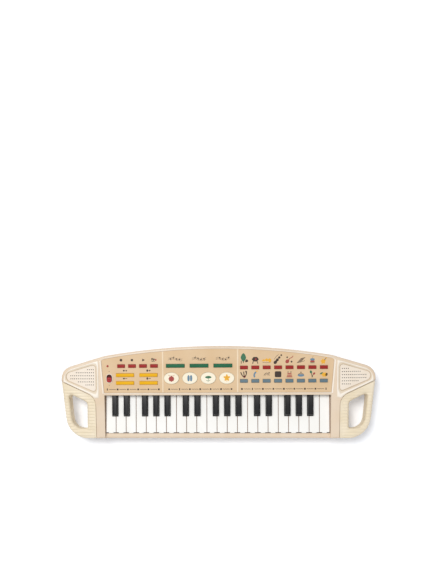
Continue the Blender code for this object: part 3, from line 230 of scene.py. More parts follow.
def woven(name, dark, light, thread):
    """Polyester cloth in front of a speaker: two sets of threads square to each other, of a width in mm."""
    made, tree, shader = new_material(name, 0.85, Specular_IOR_Level=0.2)
    place = add_node(tree, "ShaderNodeTexCoord").outputs["Object"]
    bands = [add_node(tree, "ShaderNodeTexWave", {"bands_direction": axis}, values={"Scale": 0.314 / (thread * MM)},
                      links={"Vector": place}) for axis in "XY"]
    crossed = add_node(tree, "ShaderNodeMath", {"operation": "MULTIPLY"})
    for socket, band in zip(crossed.inputs, bands):
        tree.links.new(band.outputs["Fac"], socket)
    ramp = add_node(tree, "ShaderNodeValToRGB", links={"Fac": crossed.outputs["Value"]})
    for element, colour in zip(ramp.color_ramp.elements, (dark, light)):
        element.color = linear(colour)
    tree.links.new(ramp.outputs["Color"], shader.inputs["Base Color"])
    return made


def ink(name, colour, thin):
    """Pad-printed ink on the moulded panel: matt, a little thinner where the panel's grain stands up under it."""
    made, tree, shader = new_material(name, 0.55, IOR=1.48)
    place = add_node(tree, "ShaderNodeTexCoord").outputs["Object"]
    tree.links.new(clouds(tree, place, 0.5, 0.45, 0.75, (colour, thin), 4.0), shader.inputs["Base Color"])
    grained(tree, shader, place, 0.35, 0.55, 0.08, 0.05)
    return made


def plated(name):
    """Zinc-plated steel of the screws: bright grey metal with a slight yellow passivation and fine drawn scratches."""
    made, tree, shader = new_material(name, 0.32, Metallic=1.0)
    place = add_node(tree, "ShaderNodeTexCoord").outputs["Object"]
    tree.links.new(clouds(tree, place, 3, 0.3, 0.8, ("B9B7AE", "A6A08C")), shader.inputs["Base Color"])
    grained(tree, shader, place, 0.15, 0.32, 0.08, 0.1)
    return made


def lens(name, colour, deep):
    """Tinted polystyrene lens of the power light: smooth, its tint wandering in clouds 1.5 mm across."""
    made, tree, shader = new_material(name, 0.12, IOR=1.59, Coat_Weight=0.6, Coat_Roughness=0.03)
    place = add_node(tree, "ShaderNodeTexCoord").outputs["Object"]
    tree.links.new(clouds(tree, place, 1.5, 0.3, 0.7, (colour, deep)), shader.inputs["Base Color"])
    return made


# The finish of each material slot: colour, colour where it has aged, roughness, grain in mm, relief, clear coat, gloss
FINISHES = {
    "cream_housing_abs": ("E6D3BC", "E1CAAE", 0.45, 0.40, 0.08, 0.0, 0.4),
    "cream_base_abs": ("E6D5BC", "DFCBAD", 0.50, 0.50, 0.10, 0.0, 0.4),
    "cream_grip_abs": ("F0E3CB", "E8D8B9", 0.50, 0.45, 0.10, 0.0, 0.4),
    "cream_grille_abs": ("F0E3D3", "EBDAC5", 0.48, 0.40, 0.08, 0.0, 0.4),
    "tan_panel_abs": ("DEC19B", "D9B88E", 0.50, 0.35, 0.08, 0.0, 0.4),
    "ivory_key_abs": ("FCFBF8", "F9F7F1", 0.22, 0.60, 0.02, 0.2, 0.4),
    "red_button_abs": ("A02724", "962220", 0.42, 0.35, 0.05, 0.0, 0.2),
    "yellow_button_abs": ("ECB200", "E6AA00", 0.42, 0.35, 0.05, 0.0, 0.2),
    "green_button_abs": ("206948", "1C5E40", 0.42, 0.35, 0.05, 0.0, 0.2),
    "blue_button_abs": ("697E88", "61757F", 0.42, 0.35, 0.05, 0.0, 0.2),
    "cream_pad_abs": ("F9F0DA", "F4E8CC", 0.42, 0.40, 0.05, 0.0, 0.3),
    # The switch's very dark red is painted shade: the red plastic as it looks in the shadow of its slot.
    "red_switch_abs": ("5A1714", "4E120F", 0.45, 0.35, 0.05, 0.0, 0.2),
    "brown_paper_board": ("8A6A3C", "7D5F35", 0.60, 0.80, 0.10, 0.0, 0.3),
    "grey_silicone": ("8E9093", "87898C", 0.70, 0.60, 0.10, 0.0, 0.3),
    "black_speaker": ("26262A", "303036", 0.80, 0.70, 0.30, 0.0, 0.3),
}

# Printing inks: full colour and colour where it lies thin, with the record's slot that each is nearest to
INKS = {
    "brown_ink": ("33231A", "4A3425", "brown_paper_board"),
    "grey_ink": ("6E5B4A", "857059", "grey_silicone"),
    "red_ink": ("A23A34", "B4564C", "red_button_abs"),
    "blue_ink": ("5E7F98", "7893A6", "blue_button_abs"),
    "green_ink": ("2F6B4A", "4C7F5E", "green_button_abs"),
    "yellow_ink": ("E8A81E", "EDB948", "yellow_button_abs"),
}


def finish(slot):
    """Aged material of one of the record's slots, made once."""
    name = f"aged_{slot}"
    made = bpy.data.materials.get(name)
    return made or (sharp_key(name) if slot == "black_key_abs" else moulded(name, *FINISHES[slot]))


# Outlines and surfaces as arrays


def arc(start, end, count):
    """Angles from one to another, both ends taken."""
    return np.linspace(start, end, count)


def moved(corners, insets):
    """Anticlockwise corners (x, y, radius) with each side moved inwards by its own inset: the side after a corner
    takes that corner's inset, and new corners are where neighbouring sides cross."""
    spots = np.array([corner[:2] for corner in corners])
    along = np.roll(spots, -1, axis=0) - spots
    along /= np.linalg.norm(along, axis=1, keepdims=True)
    inwards = np.stack([-along[:, 1], along[:, 0]], axis=1)
    level = np.sum(spots * inwards, axis=1) + np.array(insets)
    sides = np.stack([np.roll(inwards, 1, axis=0), inwards], axis=1)
    spots = np.linalg.solve(sides, np.stack([np.roll(level, 1), level], axis=1)[..., None])[..., 0]
    return [(x, y, corner[2]) for (x, y), corner in zip(spots, corners)]


def rounded(corners, fine=5):
    """Closed outline through corners (x, y, radius). Each arc starts and ends its radius over the tangent of half the
    corner's angle away from the corner, and has a point every few degrees."""
    outline = []
    spots = np.array([corner[:2] for corner in corners])
    for i, (here, radius) in enumerate(zip(spots, (corner[2] for corner in corners))):
        if radius <= 0:
            outline.append(here[None])
            continue
        back, ahead = spots[i - 1] - here, spots[(i + 1) % len(spots)] - here
        back, ahead = back / np.linalg.norm(back), ahead / np.linalg.norm(ahead)
        half = math.acos(np.clip(back @ ahead, -1, 1)) / 2
        centre = here + (back + ahead) / np.linalg.norm(back + ahead) * radius / math.sin(half)
        first, last = here + back * radius / math.tan(half) - centre, here + ahead * radius / math.tan(half) - centre
        turn = math.atan2(first[0] * last[1] - first[1] * last[0], first @ last)
        a = math.atan2(first[1], first[0]) + arc(0, turn, max(3, math.ceil(abs(math.degrees(turn)) / fine)))
        outline.append(centre + radius * np.stack([np.cos(a), np.sin(a)], axis=1))
    return np.concatenate(outline)


def inset(outline, distance):
    """Closed anticlockwise outline moved inwards: each point goes along the sum of its two sides' unit normals,
    divided by one plus their product, times the distance."""
    along = np.roll(outline, -1, axis=0) - outline
    along /= np.linalg.norm(along, axis=1, keepdims=True)
    after = np.stack([-along[:, 1], along[:, 0]], axis=1)
    before = np.roll(after, 1, axis=0)
    bisector = (before + after) / (1 + np.sum(before * after, axis=1, keepdims=True))
    return outline + bisector * distance


def superellipse(x, y, rx, ry, power=2.0, count=48, lobes=0, depth=0.0, turn=0.0):
    """Closed outline: cosine and sine of the angle, each to the power of two over the given one, times the half axes.
    Lobes push it in and out by the cosine of so many times the angle."""
    a = arc(0, 2 * math.pi, count + 1)[:-1]
    swell = 1 + depth * np.cos(lobes * a)
    c, s = np.cos(a), np.sin(a)
    u = rx * swell * np.sign(c) * np.abs(c) ** (2 / power)
    v = ry * swell * np.sign(s) * np.abs(s) ** (2 / power)
    return np.stack([x + u * math.cos(turn) - v * math.sin(turn), y + u * math.sin(turn) + v * math.cos(turn)], axis=1)


def polygon(x, y, rx, ry, sides, turn=0.0):
    """Closed outline of a regular polygon squeezed to two half axes."""
    a = turn + arc(0, 2 * math.pi, sides + 1)[:-1]
    return np.stack([x + rx * np.cos(a), y + ry * np.sin(a)], axis=1)


def button(outline, low, high, radius, steps=5):
    """Rows of points of an outline raised from low to high, with a quarter round at the top edge: the inset is the
    radius times one minus the cosine of an angle, and the height rises with its sine."""
    rows = [np.column_stack([outline, np.full(len(outline), low)])]
    for a in arc(0, math.pi / 2, steps):
        ring = inset(outline, radius * (1 - math.cos(a)))
        rows.append(np.column_stack([ring, np.full(len(ring), high - radius * (1 - math.sin(a)))]))
    return np.array(rows)


def grid_faces(rows, columns, wrap_rows, wrap_columns):
    """Quads of a grid of points, row after row. They face outwards where rows go up and columns anticlockwise."""
    i, j = np.meshgrid(np.arange(rows if wrap_rows else rows - 1), np.arange(columns if wrap_columns else columns - 1),
                       indexing="ij")
    up, along = (i + 1) % rows, (j + 1) % columns
    return np.stack([i * columns + j, i * columns + along, up * columns + along, up * columns + j], axis=-1).reshape(-1, 4)


def closed_body(points, wrap_rows=False):
    """Points and faces of a body whose columns run round it. It closes on itself along the rows, or with a flat face
    at the first and at the last row."""
    rows, columns = points.shape[:2]
    faces = grid_faces(rows, columns, wrap_rows, True).tolist()
    if not wrap_rows:
        faces += [list(range(columns))[::-1], list(range((rows - 1) * columns, rows * columns))]
    return points.reshape(-1, 3), faces


def swept(path, section, closed=False, up=(0, 0, 1)):
    """Section carried along a path of points: its first number goes sideways, square to the path and to up, and its
    second number goes up. The section runs anticlockwise where the first number points right."""
    ahead = np.roll(path, -1, axis=0) - np.roll(path, 1, axis=0)
    if not closed:
        ahead[0], ahead[-1] = path[1] - path[0], path[-1] - path[-2]
    side = np.cross(ahead, np.array(up, float))
    side /= np.linalg.norm(side, axis=1, keepdims=True)
    lift = np.array(up, float) / np.linalg.norm(up)
    points = path[:, None] + side[:, None] * section[None, ::-1, :1] + lift * section[None, ::-1, 1:]
    return closed_body(points, wrap_rows=closed)


def half_round(width, height, sunk, count=9):
    """Section of a low bead: a half ellipse of a width and height on a short foot that is sunk into what carries it."""
    a = arc(0, math.pi, count)
    top = np.stack([width / 2 * np.cos(a), height * np.sin(a)], axis=1)
    return np.concatenate([[(width / 2, -sunk)], top, [(-width / 2, -sunk)]])


def on_deck(points):
    """Deck's own points (x, distance up the slope, height over it), in mm, as places in the model in mm."""
    x, v, h = points[..., 0], points[..., 1], points[..., 2]
    return np.stack([x, DECK_Y + v * math.cos(TILT) - h * math.sin(TILT), DECK_Z + v * math.sin(TILT) + h * math.cos(TILT)],
                    axis=-1)


def up_slope(y):
    """Distance up the deck's slope of a place in plan."""
    return (y - DECK_Y) / math.cos(TILT)


def roof(x, y):
    """Height of the housing's top surfaces: the lowest of the cheek's slope, the deck's tilt, and the wing's fall."""
    cheek = DECK_Z + (y - DECK_Y) * CHEEK_SLOPE
    deck = DECK_Z + (y - DECK_Y) * math.tan(TILT)
    wing = deck - (np.abs(x) - WING_X) * math.tan(FALL) / math.cos(TILT)
    return np.minimum(np.minimum(cheek, deck), wing)


def rear_edge(x):
    """Rear edge of the housing over the keys: an arc of the bow's radius."""
    return REAR_Y - REAR_BOW_R + np.sqrt(REAR_BOW_R ** 2 - x ** 2)


def dense(outline, share=12):
    """Closed outline with each side cut into equal shares."""
    after = np.roll(outline, -1, axis=0)
    t = (np.arange(share) / share)[None, :, None]
    return (outline[:, None] * (1 - t) + after[:, None] * t).reshape(-1, 2)


def reach(outline, centre, turns):
    """How far a closed outline is from a centre in each direction."""
    span = dense(outline) - centre
    angle = np.arctan2(span[:, 1], span[:, 0])
    return np.interp(turns, angle, np.linalg.norm(span, axis=1), period=2 * math.pi)


def distance_to(points, outline, closed=True):
    """Distance of every point to the nearest side of an outline."""
    start = outline if closed else outline[:-1]
    span = (np.roll(outline, -1, axis=0) if closed else outline[1:])[:len(start)] - start
    offset = points[..., None, :] - start
    share = np.clip(np.sum(offset * span, axis=-1) / np.maximum(np.sum(span * span, axis=-1), 1e-9), 0, 1)
    return np.linalg.norm(offset - share[..., None] * span, axis=-1).min(axis=-1)


def eased(distance, radius):
    """How far a rounded edge has dropped at a distance from it: a quarter circle of the radius."""
    near = np.clip(radius - distance, 0, radius)
    return radius - np.sqrt(radius ** 2 - near ** 2)


def loop(outer, inner, centre, shares):
    """Plan of a ring between two outlines about a centre: rows go from the inner to the outer one by shares, columns
    turn round the centre and pass through every corner of both."""
    spots = np.concatenate([outer, inner]) - centre
    turns = np.unique(np.concatenate([arc(-math.pi, math.pi, 241)[:-1], np.arctan2(spots[:, 1], spots[:, 0])]).round(5))
    near, far = reach(inner, centre, turns), reach(outer, centre, turns)
    radius = near + (far - near) * np.asarray(shares)[:, None]
    return centre + radius[..., None] * np.stack([np.cos(turns), np.sin(turns)], axis=-1)


# Pieces


def add_piece(name, points, faces, material, body, slot, smooth=45):
    """Mesh object from points in mm, which rides on a body and is smooth over edges flatter than an angle."""
    mesh = bpy.data.meshes.new(name)
    mesh.from_pydata((np.asarray(points) * MM).tolist(), [], [list(face) for face in faces])
    mesh.update()
    mesh.shade_smooth()
    mesh.set_sharp_from_angle(angle=math.radians(smooth))
    mesh.materials.append(material)
    obj = bpy.data.objects.new(name, mesh)
    bpy.context.scene.collection.objects.link(obj)
    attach(obj, body)
    return obj


def merged(bodies):
    """Several bodies' points and faces as one."""
    points, faces, start = [], [], 0
    for some, those in bodies:
        points.append(some)
        faces += [[corner + start for corner in face] for face in those]
        start += len(some)
    return np.concatenate(points), faces


def mirrored(points, faces):
    """The same body on the other side of the middle, with its faces still outwards."""
    return points * (-1, 1, 1), [list(face)[::-1] for face in faces]


def body_of(node):
    """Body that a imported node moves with."""
    return frame["nodes"][node]["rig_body"]


def box_of(node):
    """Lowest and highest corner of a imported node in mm."""
    low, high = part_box(node)
    return np.array(low) / MM, np.array(high) / MM


def faired_copy(node, angle, edge=0.0):
    """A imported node's mesh to stand for it: welded, its flat neighbours joined, shaded smooth over edges flatter than
    an angle, and with sharp edges rounded by a radius in mm where one is given, or else with its flats kept flat."""
    packed = frame["nodes"][node]
    mesh = bpy.data.meshes.new(node + "_faired")
    grid = bmesh.new()
    grid.from_mesh(packed.data)
    bmesh.ops.remove_doubles(grid, verts=grid.verts, dist=2e-7)
    bmesh.ops.dissolve_limit(grid, angle_limit=math.radians(0.3), verts=grid.verts, edges=grid.edges)
    grid.to_mesh(mesh)
    grid.free()
    mesh.shade_smooth()
    mesh.set_sharp_from_angle(angle=math.radians(angle))
    mesh.materials.append(packed.data.materials[0])
    obj = bpy.data.objects.new(node + "_faired", mesh)
    bpy.context.scene.collection.objects.link(obj)
    if edge:
        bevel = obj.modifiers.new("soft_edges", "BEVEL")
        bevel.width = edge * MM
        bevel.segments = 2
        bevel.limit_method = "ANGLE"
        bevel.angle_limit = math.radians(25)
        bevel.harden_normals = True
    else:
        weighted = obj.modifiers.new("flat_faces", "WEIGHTED_NORMAL")
        weighted.mode = "FACE_AREA"
        weighted.weight = 100
        weighted.keep_sharp = True
    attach(obj, body_of(node))
    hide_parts(node)
    return obj


# Settings


class KEYS_PG_stage(bpy.types.PropertyGroup):
    """Camera and light of the stage."""

    distance: bpy.props.FloatProperty(
        name="Camera height", description="Height of the camera over the floor", default=1.2, unit="LENGTH")
    offset: bpy.props.FloatProperty(
        name="Offset", description="How far the camera stands to the right", default=0.01, unit="LENGTH")
    tilt: bpy.props.FloatProperty(
        name="Tilt", description="How far the camera leans to the left", default=math.radians(2.7), unit="ROTATION")
    roll: bpy.props.FloatProperty(
        name="Roll", description="How far the camera is turned about its view", default=math.radians(-0.2), unit="ROTATION")
    lens: bpy.props.FloatProperty(name="Lens", description="Focal length in millimetres", default=43.9, unit="CAMERA")
    shift: bpy.props.FloatVectorProperty(
        name="Shift", description="Sideways and upward shift that frames the object", default=(0.0507, 0.1981), size=2)
    key_power: bpy.props.FloatProperty(name="Key light", description="Power of the overhead light", default=82.0, unit="POWER")
    fill_power: bpy.props.FloatProperty(name="Fill light", description="Power of the front light", default=9.0, unit="POWER")
    sky: bpy.props.FloatProperty(name="Surround", description="Strength of the white surround", default=0.40)
    floor_glow: bpy.props.FloatProperty(name="Floor glow", description="How much light the floor sheet passes", default=0.13)
    floor_half: bpy.props.FloatProperty(
        name="Floor half width", description="Half the side of the floor", default=3.0, unit="LENGTH")


class KEYS_PG_shapes(bpy.types.PropertyGroup):
    """Sizes of the pieces that this file adds."""

    key_edge: bpy.props.FloatProperty(
        name="Key edge", description="Rounding of the keys' edges", default=0.2 * MM, unit="LENGTH")
    cap_edge: bpy.props.FloatProperty(
        name="Cap edge", description="Rounding of the button caps' edges", default=0.15 * MM, unit="LENGTH")
    grip_edge: bpy.props.FloatProperty(
        name="Grip edge", description="Radius of the grips' outer edges", default=4.5 * MM, unit="LENGTH")
    rib_pitch: bpy.props.FloatProperty(
        name="Rib pitch", description="Distance between the grips' ribs", default=5.2 * MM, unit="LENGTH")
    rib_depth: bpy.props.FloatProperty(
        name="Rib depth", description="How deep the furrows between the ribs are", default=1.0 * MM, unit="LENGTH")
    pod_rise: bpy.props.FloatProperty(
        name="Pod rise", description="How far the rim round a grille stands up", default=0.9 * MM, unit="LENGTH")
    divider: bpy.props.FloatProperty(
        name="Divider", description="Width of the light ribs that divide the panel", default=2.6 * MM, unit="LENGTH")
    print_rise: bpy.props.FloatProperty(
        name="Print", description="How far the printed marks stand up", default=0.06 * MM, unit="LENGTH")


def shape(name):
    """One of the shape settings in mm."""
    return getattr(bpy.context.scene.keys_shapes, name) / MM


# Finishes and housings


class KEYS_OT_finishes(bpy.types.Operator):
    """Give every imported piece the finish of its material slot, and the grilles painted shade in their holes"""

    bl_idname = "keys.finishes"
    bl_label = "Finishes"

    def execute(self, context):
        slots = {row["node"]: row["material_slot"] for row in frame["record"]["subparts"]}
        # Grilles get painted shade in their holes.
        hole_shaded_grille = grille_with_painted_hole_shade("cream_grille_abs_painted_hole_shade")
        for node, obj in frame["nodes"].items():
            obj.data.materials.clear()
            obj.data.materials.append(hole_shaded_grille if node.endswith("_grille") else finish(slots[node]))
        return {"FINISHED"}


class KEYS_OT_housings(bpy.types.Operator):
    """Fair the facets of the two housings and of the speakers"""

    bl_idname = "keys.housings"
    bl_label = "Housings"

    def execute(self, context):
        for node in ("upper_housing", "lower_housing", "left_speaker", "right_speaker"):
            faired_copy(node, 44)
        return {"FINISHED"}


# Grips and pods


class KEYS_OT_grips(bpy.types.Operator):
    """Replace both carrying grips with softly ribbed ones"""

    bl_idname = "keys.grips"
    bl_label = "Grips"

    def execute(self, context):
        right = grip_body()
        for side, body in (("right", right), ("left", mirrored(*right))):
            obj = add_piece(f"{side}_ribbed_grip", *body, finish("cream_grip_abs"), "housing", "cream_grip_abs", 70)
            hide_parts(f"{side}_handle")
        return {"FINISHED"}


def grip_body():
    """Right grip: a ring round the finger hole. Its top is the roof lowered by the grip's drop, by a quarter circle
    near each free edge, and by furrows that follow half a cosine of Y over the rib pitch and fade at the seam."""
    outer, inner = rounded(moved(GRIP, (0.0, 0.0, SEAM_SET, SEAM_SET))), rounded(FINGER_HOLE)
    shares = (1 - np.cos(arc(0, math.pi, 40))) / 2
    plan = loop(outer, inner, np.array([232.0, -34.0]), shares)
    x, y = plan[..., 0], plan[..., 1]
    seam = np.concatenate([outer[np.argmax(outer[:, 1]):], outer[:1]])
    to_seam = distance_to(plan, seam, closed=False)
    edge = shape("grip_edge")
    furrow = shape("rib_depth") * (0.5 - 0.5 * np.cos(2 * math.pi * (y - DECK_Y) / shape("rib_pitch"))) ** 0.8
    to_free, to_hole = distance_to(plan, rounded(WHOLE)), distance_to(plan, inner)
    fade = np.clip((to_seam - 1.0) / 3.0, 0, 1) * np.clip((8.0 - y) / 6.0, 0, 1)
    top = roof(x, y) - GRIP_DROP - eased(to_free, edge) - eased(to_hole, edge) - eased(to_seam, 0.5) - furrow * fade
    rows = [np.dstack([plan, top])]
    for share in (0.25, 0.5, 0.75, 1.0):
        rows.append(np.dstack([plan[-1:], top[-1:] + (GRIP_BOTTOM + 1.0 - top[-1:]) * share]))
    rows.append(np.dstack([loop(outer, inner, np.array([232.0, -34.0]), (0.96, 0.04)), np.full((2, plan.shape[1]), GRIP_BOTTOM)]))
    for share in (1.0, 0.75, 0.5, 0.25):
        rows.append(np.dstack([plan[:1], top[:1] + (GRIP_BOTTOM + 1.0 - top[:1]) * share]))
    points = np.concatenate(rows)[::-1]
    return closed_body(points, wrap_rows=True)


class KEYS_OT_pods(bpy.types.Operator):
    """Add the raised rim, a tan bead of painted groove shade, and the cloth of each speaker"""

    bl_idname = "keys.pods"
    bl_label = "Pods"

    def execute(self, context):
        *rim, crest = pod_body()
        highlighted_rim = rim_with_painted_crest_highlight("cream_abs_painted_crest_highlight")
        # The bead's tan is painted shade for the groove round the grille.
        groove_shade_material = moulded("tan_foam_gasket", "D2BEA1", "C8B292", 0.85, 0.5, 0.3, 0.0, 0.2)
        cloth = woven("brown_speaker_cloth", "1F1712", "4A382B", 0.4)
        kinds = (("pod_rim", rim, highlighted_rim, "cream_grille_abs", 60), ("gasket", groove_shade_bead_body(), groove_shade_material, "cream_grille_abs", 60),
                 ("speaker_cloth", cloth_body(), cloth, "black_speaker", 30))
        for name, right, material, slot, angle in kinds:
            for side, body in (("right", right), ("left", mirrored(*right))):
                obj = add_piece(f"{side}_{name}", *body, material, "housing", slot, angle)
                if name == "pod_rim":
                    obj.data.attributes.new("crest", "FLOAT", "POINT").data.foreach_set("value", crest)
        return {"FINISHED"}


def pod_body():
    """Rim on the right wing, a ring between the grille and the wing's edges: a bead that hugs the outer edge, as high
    as the sine of how far a point has got across two thirds of the ring, and a flat groove inside it. The third
    result is each point's share of the crest's height, which the rim's material turns into a painted highlight."""
    outer, inner = rounded(moved(POD, POD_INSETS)), inset(rounded(GRILLE), -1.2)
    shares = np.concatenate([[0.0], (1 - np.cos(arc(0, math.pi, 34))) / 2, [1.0]])
    plan = loop(outer, inner, np.array([218.0, 24.0]), shares)
    to_outer, to_inner = distance_to(plan, outer), distance_to(plan, inner)
    across = np.clip(to_outer / (0.66 * (to_outer + to_inner)), 0, 1)
    crest = np.sin(math.pi * across) ** 0.8
    height = 0.06 + shape("pod_rise") * crest
    height[[1, -2]] = 0.03
    height[[0, -1]] = -1.2
    points = np.dstack([plan, roof(plan[..., 0], plan[..., 1]) + height])[::-1]
    return (*closed_body(points, wrap_rows=True), crest[::-1].ravel())


def groove_shade_bead_body():
    """Tan bead between the right grille and its rim, whose colour is painted shade standing in for the groove's shadow:
    a low bead swept 0.75 mm outside the grille.
    """
    plan = inset(rounded(GRILLE), -0.75)
    path = np.column_stack([plan, roof(plan[:, 0], plan[:, 1])])
    return swept(path, half_round(0.8, 0.12, 0.3), closed=True)


def cloth_body():
    """Cloth glued to the right grille's underside: a sheet 0.3 mm thick that follows the wing 2.3 mm under its top."""
    plan = inset(rounded(GRILLE), 3.3)
    top = roof(plan[:, 0], plan[:, 1]) - 2.27
    return closed_body(np.array([np.column_stack([plan, top - 0.3]), np.column_stack([plan, top])]))


# Keys and buttons


class KEYS_OT_keys(bpy.types.Operator):
    """Round the edges of the white and the black keys, stand the guide ribs between them, and put dark strips in the
    pockets at their fronts; the ribs' brown and the strips' dark brown are painted shade
    """

    bl_idname = "keys.keys"
    bl_label = "Keys"

    def execute(self, context):
        for node in sorted(frame["nodes"]):
            if node.startswith(("white_key", "black_key")):
                faired_copy(node, 30, shape("key_edge"))
        guides = [guide_body((joint - 10) * KEY_PITCH, -5.0 if joint in PLAIN_JOINTS else -41.0) for joint in range(21)]
        ends = [guide_body(x, -5.0, 0.5) for x in (-KEY_END - 0.8, KEY_END + 0.8)]
        # The guide ribs' brown is painted shade: it stands for the shadow seen in the gaps between the white keys.
        brown = moulded("guide_abs_painted_gap_shade", "A07A60", "916C53", 0.60, 0.40, 0.08, 0.0, 0.2)
        add_piece("key_guides", *merged(guides + ends), brown, "housing", "cream_base_abs", 30)
        spans = [((joint - 10) * KEY_PITCH - 3.9, (joint - 10) * KEY_PITCH + 3.9) for joint in range(21)]
        spans += [(-KEY_END + 0.1, -KEY_END + 3.8), (KEY_END - 3.8, KEY_END - 0.1)]
        # Dark strips of painted shade in the pockets between the keys' relieved front corners.
        pocket_shade_material = moulded("dark_strip_painted_pocket_shade", "5E4130", "4C3325", 0.90, 0.8, 0.5, 0.0, 0.1)
        add_piece("front_pocket_shade_strips", *merged([pocket_shade_strip_body(*span) for span in spans]), pocket_shade_material, "housing", "brown_paper_board", 30)
        return {"FINISHED"}


def guide_body(x, rear, half=0.3):
    """Upright rib beside a white key: an outline in Y and Z, of a half thickness in mm, that stands on the lower
    housing's floor, steps over the boards, and ends short of the sharp where one stands over the joint."""
    side = np.array([(-69.2, 7.2), (-47.5, 7.2), (-47.5, 20.0), (rear, 20.0), (rear, 31.0), (-69.2, 31.0)])
    return closed_body(np.array([np.column_stack([np.full(len(side), x + off), side]) for off in (-half, half)]))


def pocket_shade_strip_body(left, right):
    """Dark strip that stands on the floor in the pocket which two keys' relieved front corners leave; its dark brown is
    painted shade, standing in for the shadow in that pocket.
    """
    plan = np.array([(left, -69.3), (right, -69.3), (right, -68.55), (left, -68.55)])
    return closed_body(np.array([np.column_stack([plan, np.full(4, z)]) for z in (7.2, 30.0)]))


class KEYS_OT_buttons(bpy.types.Operator):
    """Round the edges of the button caps and the drum pads"""

    bl_idname = "keys.buttons"
    bl_label = "Buttons"

    def execute(self, context):
        for node in sorted(frame["nodes"]):
            if node.endswith("_buttons") or node.startswith("drum_pad"):
                faired_copy(node, 40, shape("cap_edge"))
        return {"FINISHED"}


# Panel: trim, light and switch


class KEYS_OT_trim(bpy.types.Operator):
    """Add the panel's light border and dividers, the ring round the switch, the light's lens and the switch knob"""

    bl_idname = "keys.trim"
    bl_label = "Panel trim"

    def execute(self, context):
        cream = finish("cream_grille_abs")
        add_piece("panel_border", *border_body(), cream, "housing", "cream_grille_abs", 60)
        bright = moulded("light_cream_abs", "FBF1E4", "F5E8D7", 0.46, 0.40, 0.08, 0.0, 0.4)
        side = side_bead_body()
        add_piece("right_side_bead", *side, bright, "housing", "cream_grille_abs", 60)
        add_piece("left_side_bead", *mirrored(*side), bright, "housing", "cream_grille_abs", 60)
        pale = moulded("pale_tan_abs", "EFDABD", "EAD3B2", 0.48, 0.35, 0.08, 0.0, 0.4)
        for name, x in (("left_divider", -91.2), ("right_divider", 35.1)):
            add_piece(name, *divider_body(x), pale, "housing", "tan_panel_abs", 60)
        x, v = SWITCH
        ring = np.column_stack([superellipse(x, v, 5.3, 7.5, 2.6, 56), np.full(56, -0.3)])
        points, faces = swept(ring, half_round(1.5, 1.1, 0.3), closed=True)
        add_piece("switch_ring", on_deck(points), faces, cream, "housing", "cream_grille_abs", 60)
        glow = lens("red_lens_ps", "C03A34", "8E231F")
        add_piece("power_light_lens", *dome_body(*LIGHT, 1.9, 1.5), glow, "housing", "red_button_abs", 60)
        red = moulded("bright_red_knob_abs", "AE2427", "A01F22", 0.36, 0.35, 0.04, 0.0, 0.25)
        add_piece("power_switch_cap", *knob_body(), red, "power_switch", "red_switch_abs", 50)
        return {"FINISHED"}


def border_body():
    """Low bead round the panel, 1 mm outside its edge: it follows the sides, and the bow's arc 1 mm outside it."""
    out = 1.0
    (x0, y0), (x1, y1) = PANEL_SIDE
    x = arc(x1 - 5.4, -x1 + 5.4, 61)
    rear = np.stack([x, rear_edge(x) - BORDER + out], axis=1)
    right = np.array([(x0 + out, y0 - out), (x0 + out + 0.1, y0 + 1.5), (x1 + out, y1 - 2.5), (x1 - 0.6, y1 + 0.4)])
    left = right[::-1] * (-1, 1)
    plan = np.concatenate([right, rear, left])
    front = np.stack([arc(-x0 - out + 2, x0 + out - 2, 40), np.full(40, y0 - out - 0.2)], axis=1)
    plan = np.concatenate([plan, front])
    path = np.column_stack([plan[:, 0], up_slope(plan[:, 1]), np.zeros(len(plan))])
    points, faces = swept(path, half_round(1.5, 0.5, 0.3), closed=True)
    return on_deck(points), faces


def side_bead_body():
    """Bright half-round bead on the deck, 1.9 mm outside the panel's right side and as long as it."""
    (x0, y0), (x1, y1) = PANEL_SIDE
    share = arc(0.0, 1.0, 24)
    path = np.column_stack([x0 + 1.9 + (x1 - x0) * share, up_slope(y0 - 1.4 + (y1 - y0) * share), np.full(24, -0.05)])
    points, faces = swept(path, half_round(2.5, 1.0, 0.3))
    return on_deck(points), faces


def divider_body(x):
    """Low half-round rib across the panel, from its front edge to its rear edge."""
    v = arc(up_slope(PANEL_SIDE[0][1]) + 0.2, up_slope(rear_edge(x) - BORDER) - 0.2, 24)
    path = np.column_stack([np.full(24, x), v, np.full(24, -0.3)])
    points, faces = swept(path, half_round(shape("divider"), 0.5, 0.2))
    return on_deck(points), faces


def dome_body(x, v, radius, rise):
    """Round lens on the deck: rings whose radius falls as the cosine of an angle while their height rises by its sine."""
    a = arc(0, math.radians(86), 8)
    turns = arc(0, 2 * math.pi, 33)[:-1]
    r = np.concatenate([[radius], radius * np.cos(a)])
    h = np.concatenate([[-0.6], -0.3 + rise * np.sin(a)])
    points = np.stack([x + r[:, None] * np.cos(turns), v + r[:, None] * np.sin(turns), h[:, None] + 0 * turns], axis=-1)
    points, faces = closed_body(points)
    return on_deck(points), faces


def knob_body():
    """Cap on the switch's knob: a rounded oval whose top dips between three finger ribs, by a cosine across the slide."""
    x = SWITCH[0]
    v = SWITCH[1] - 2.2
    outline = superellipse(x, v, 4.2, 4.2, 3.2, 64)
    rows = button(outline, 0.2, CAP_TOP + 0.45, 1.0, 6)
    inner = [inset(outline, 1.0 + 3.0 * share) for share in arc(0.15, 0.9, 8)]
    top = [np.column_stack([ring, np.full(len(ring), CAP_TOP + 0.45)]) for ring in inner]
    points = np.concatenate([rows, np.array(top)])
    inside = np.clip(np.arange(len(points)) - len(rows) + 2, 0, 2)[:, None] / 2
    points[..., 2] -= 0.3 * inside * (0.5 - 0.5 * np.cos((points[..., 1] - v) * math.pi / 1.1))
    points, faces = closed_body(points)
    return on_deck(points), faces


# Printed marks: every motif is its own design of discs, polygons and strokes


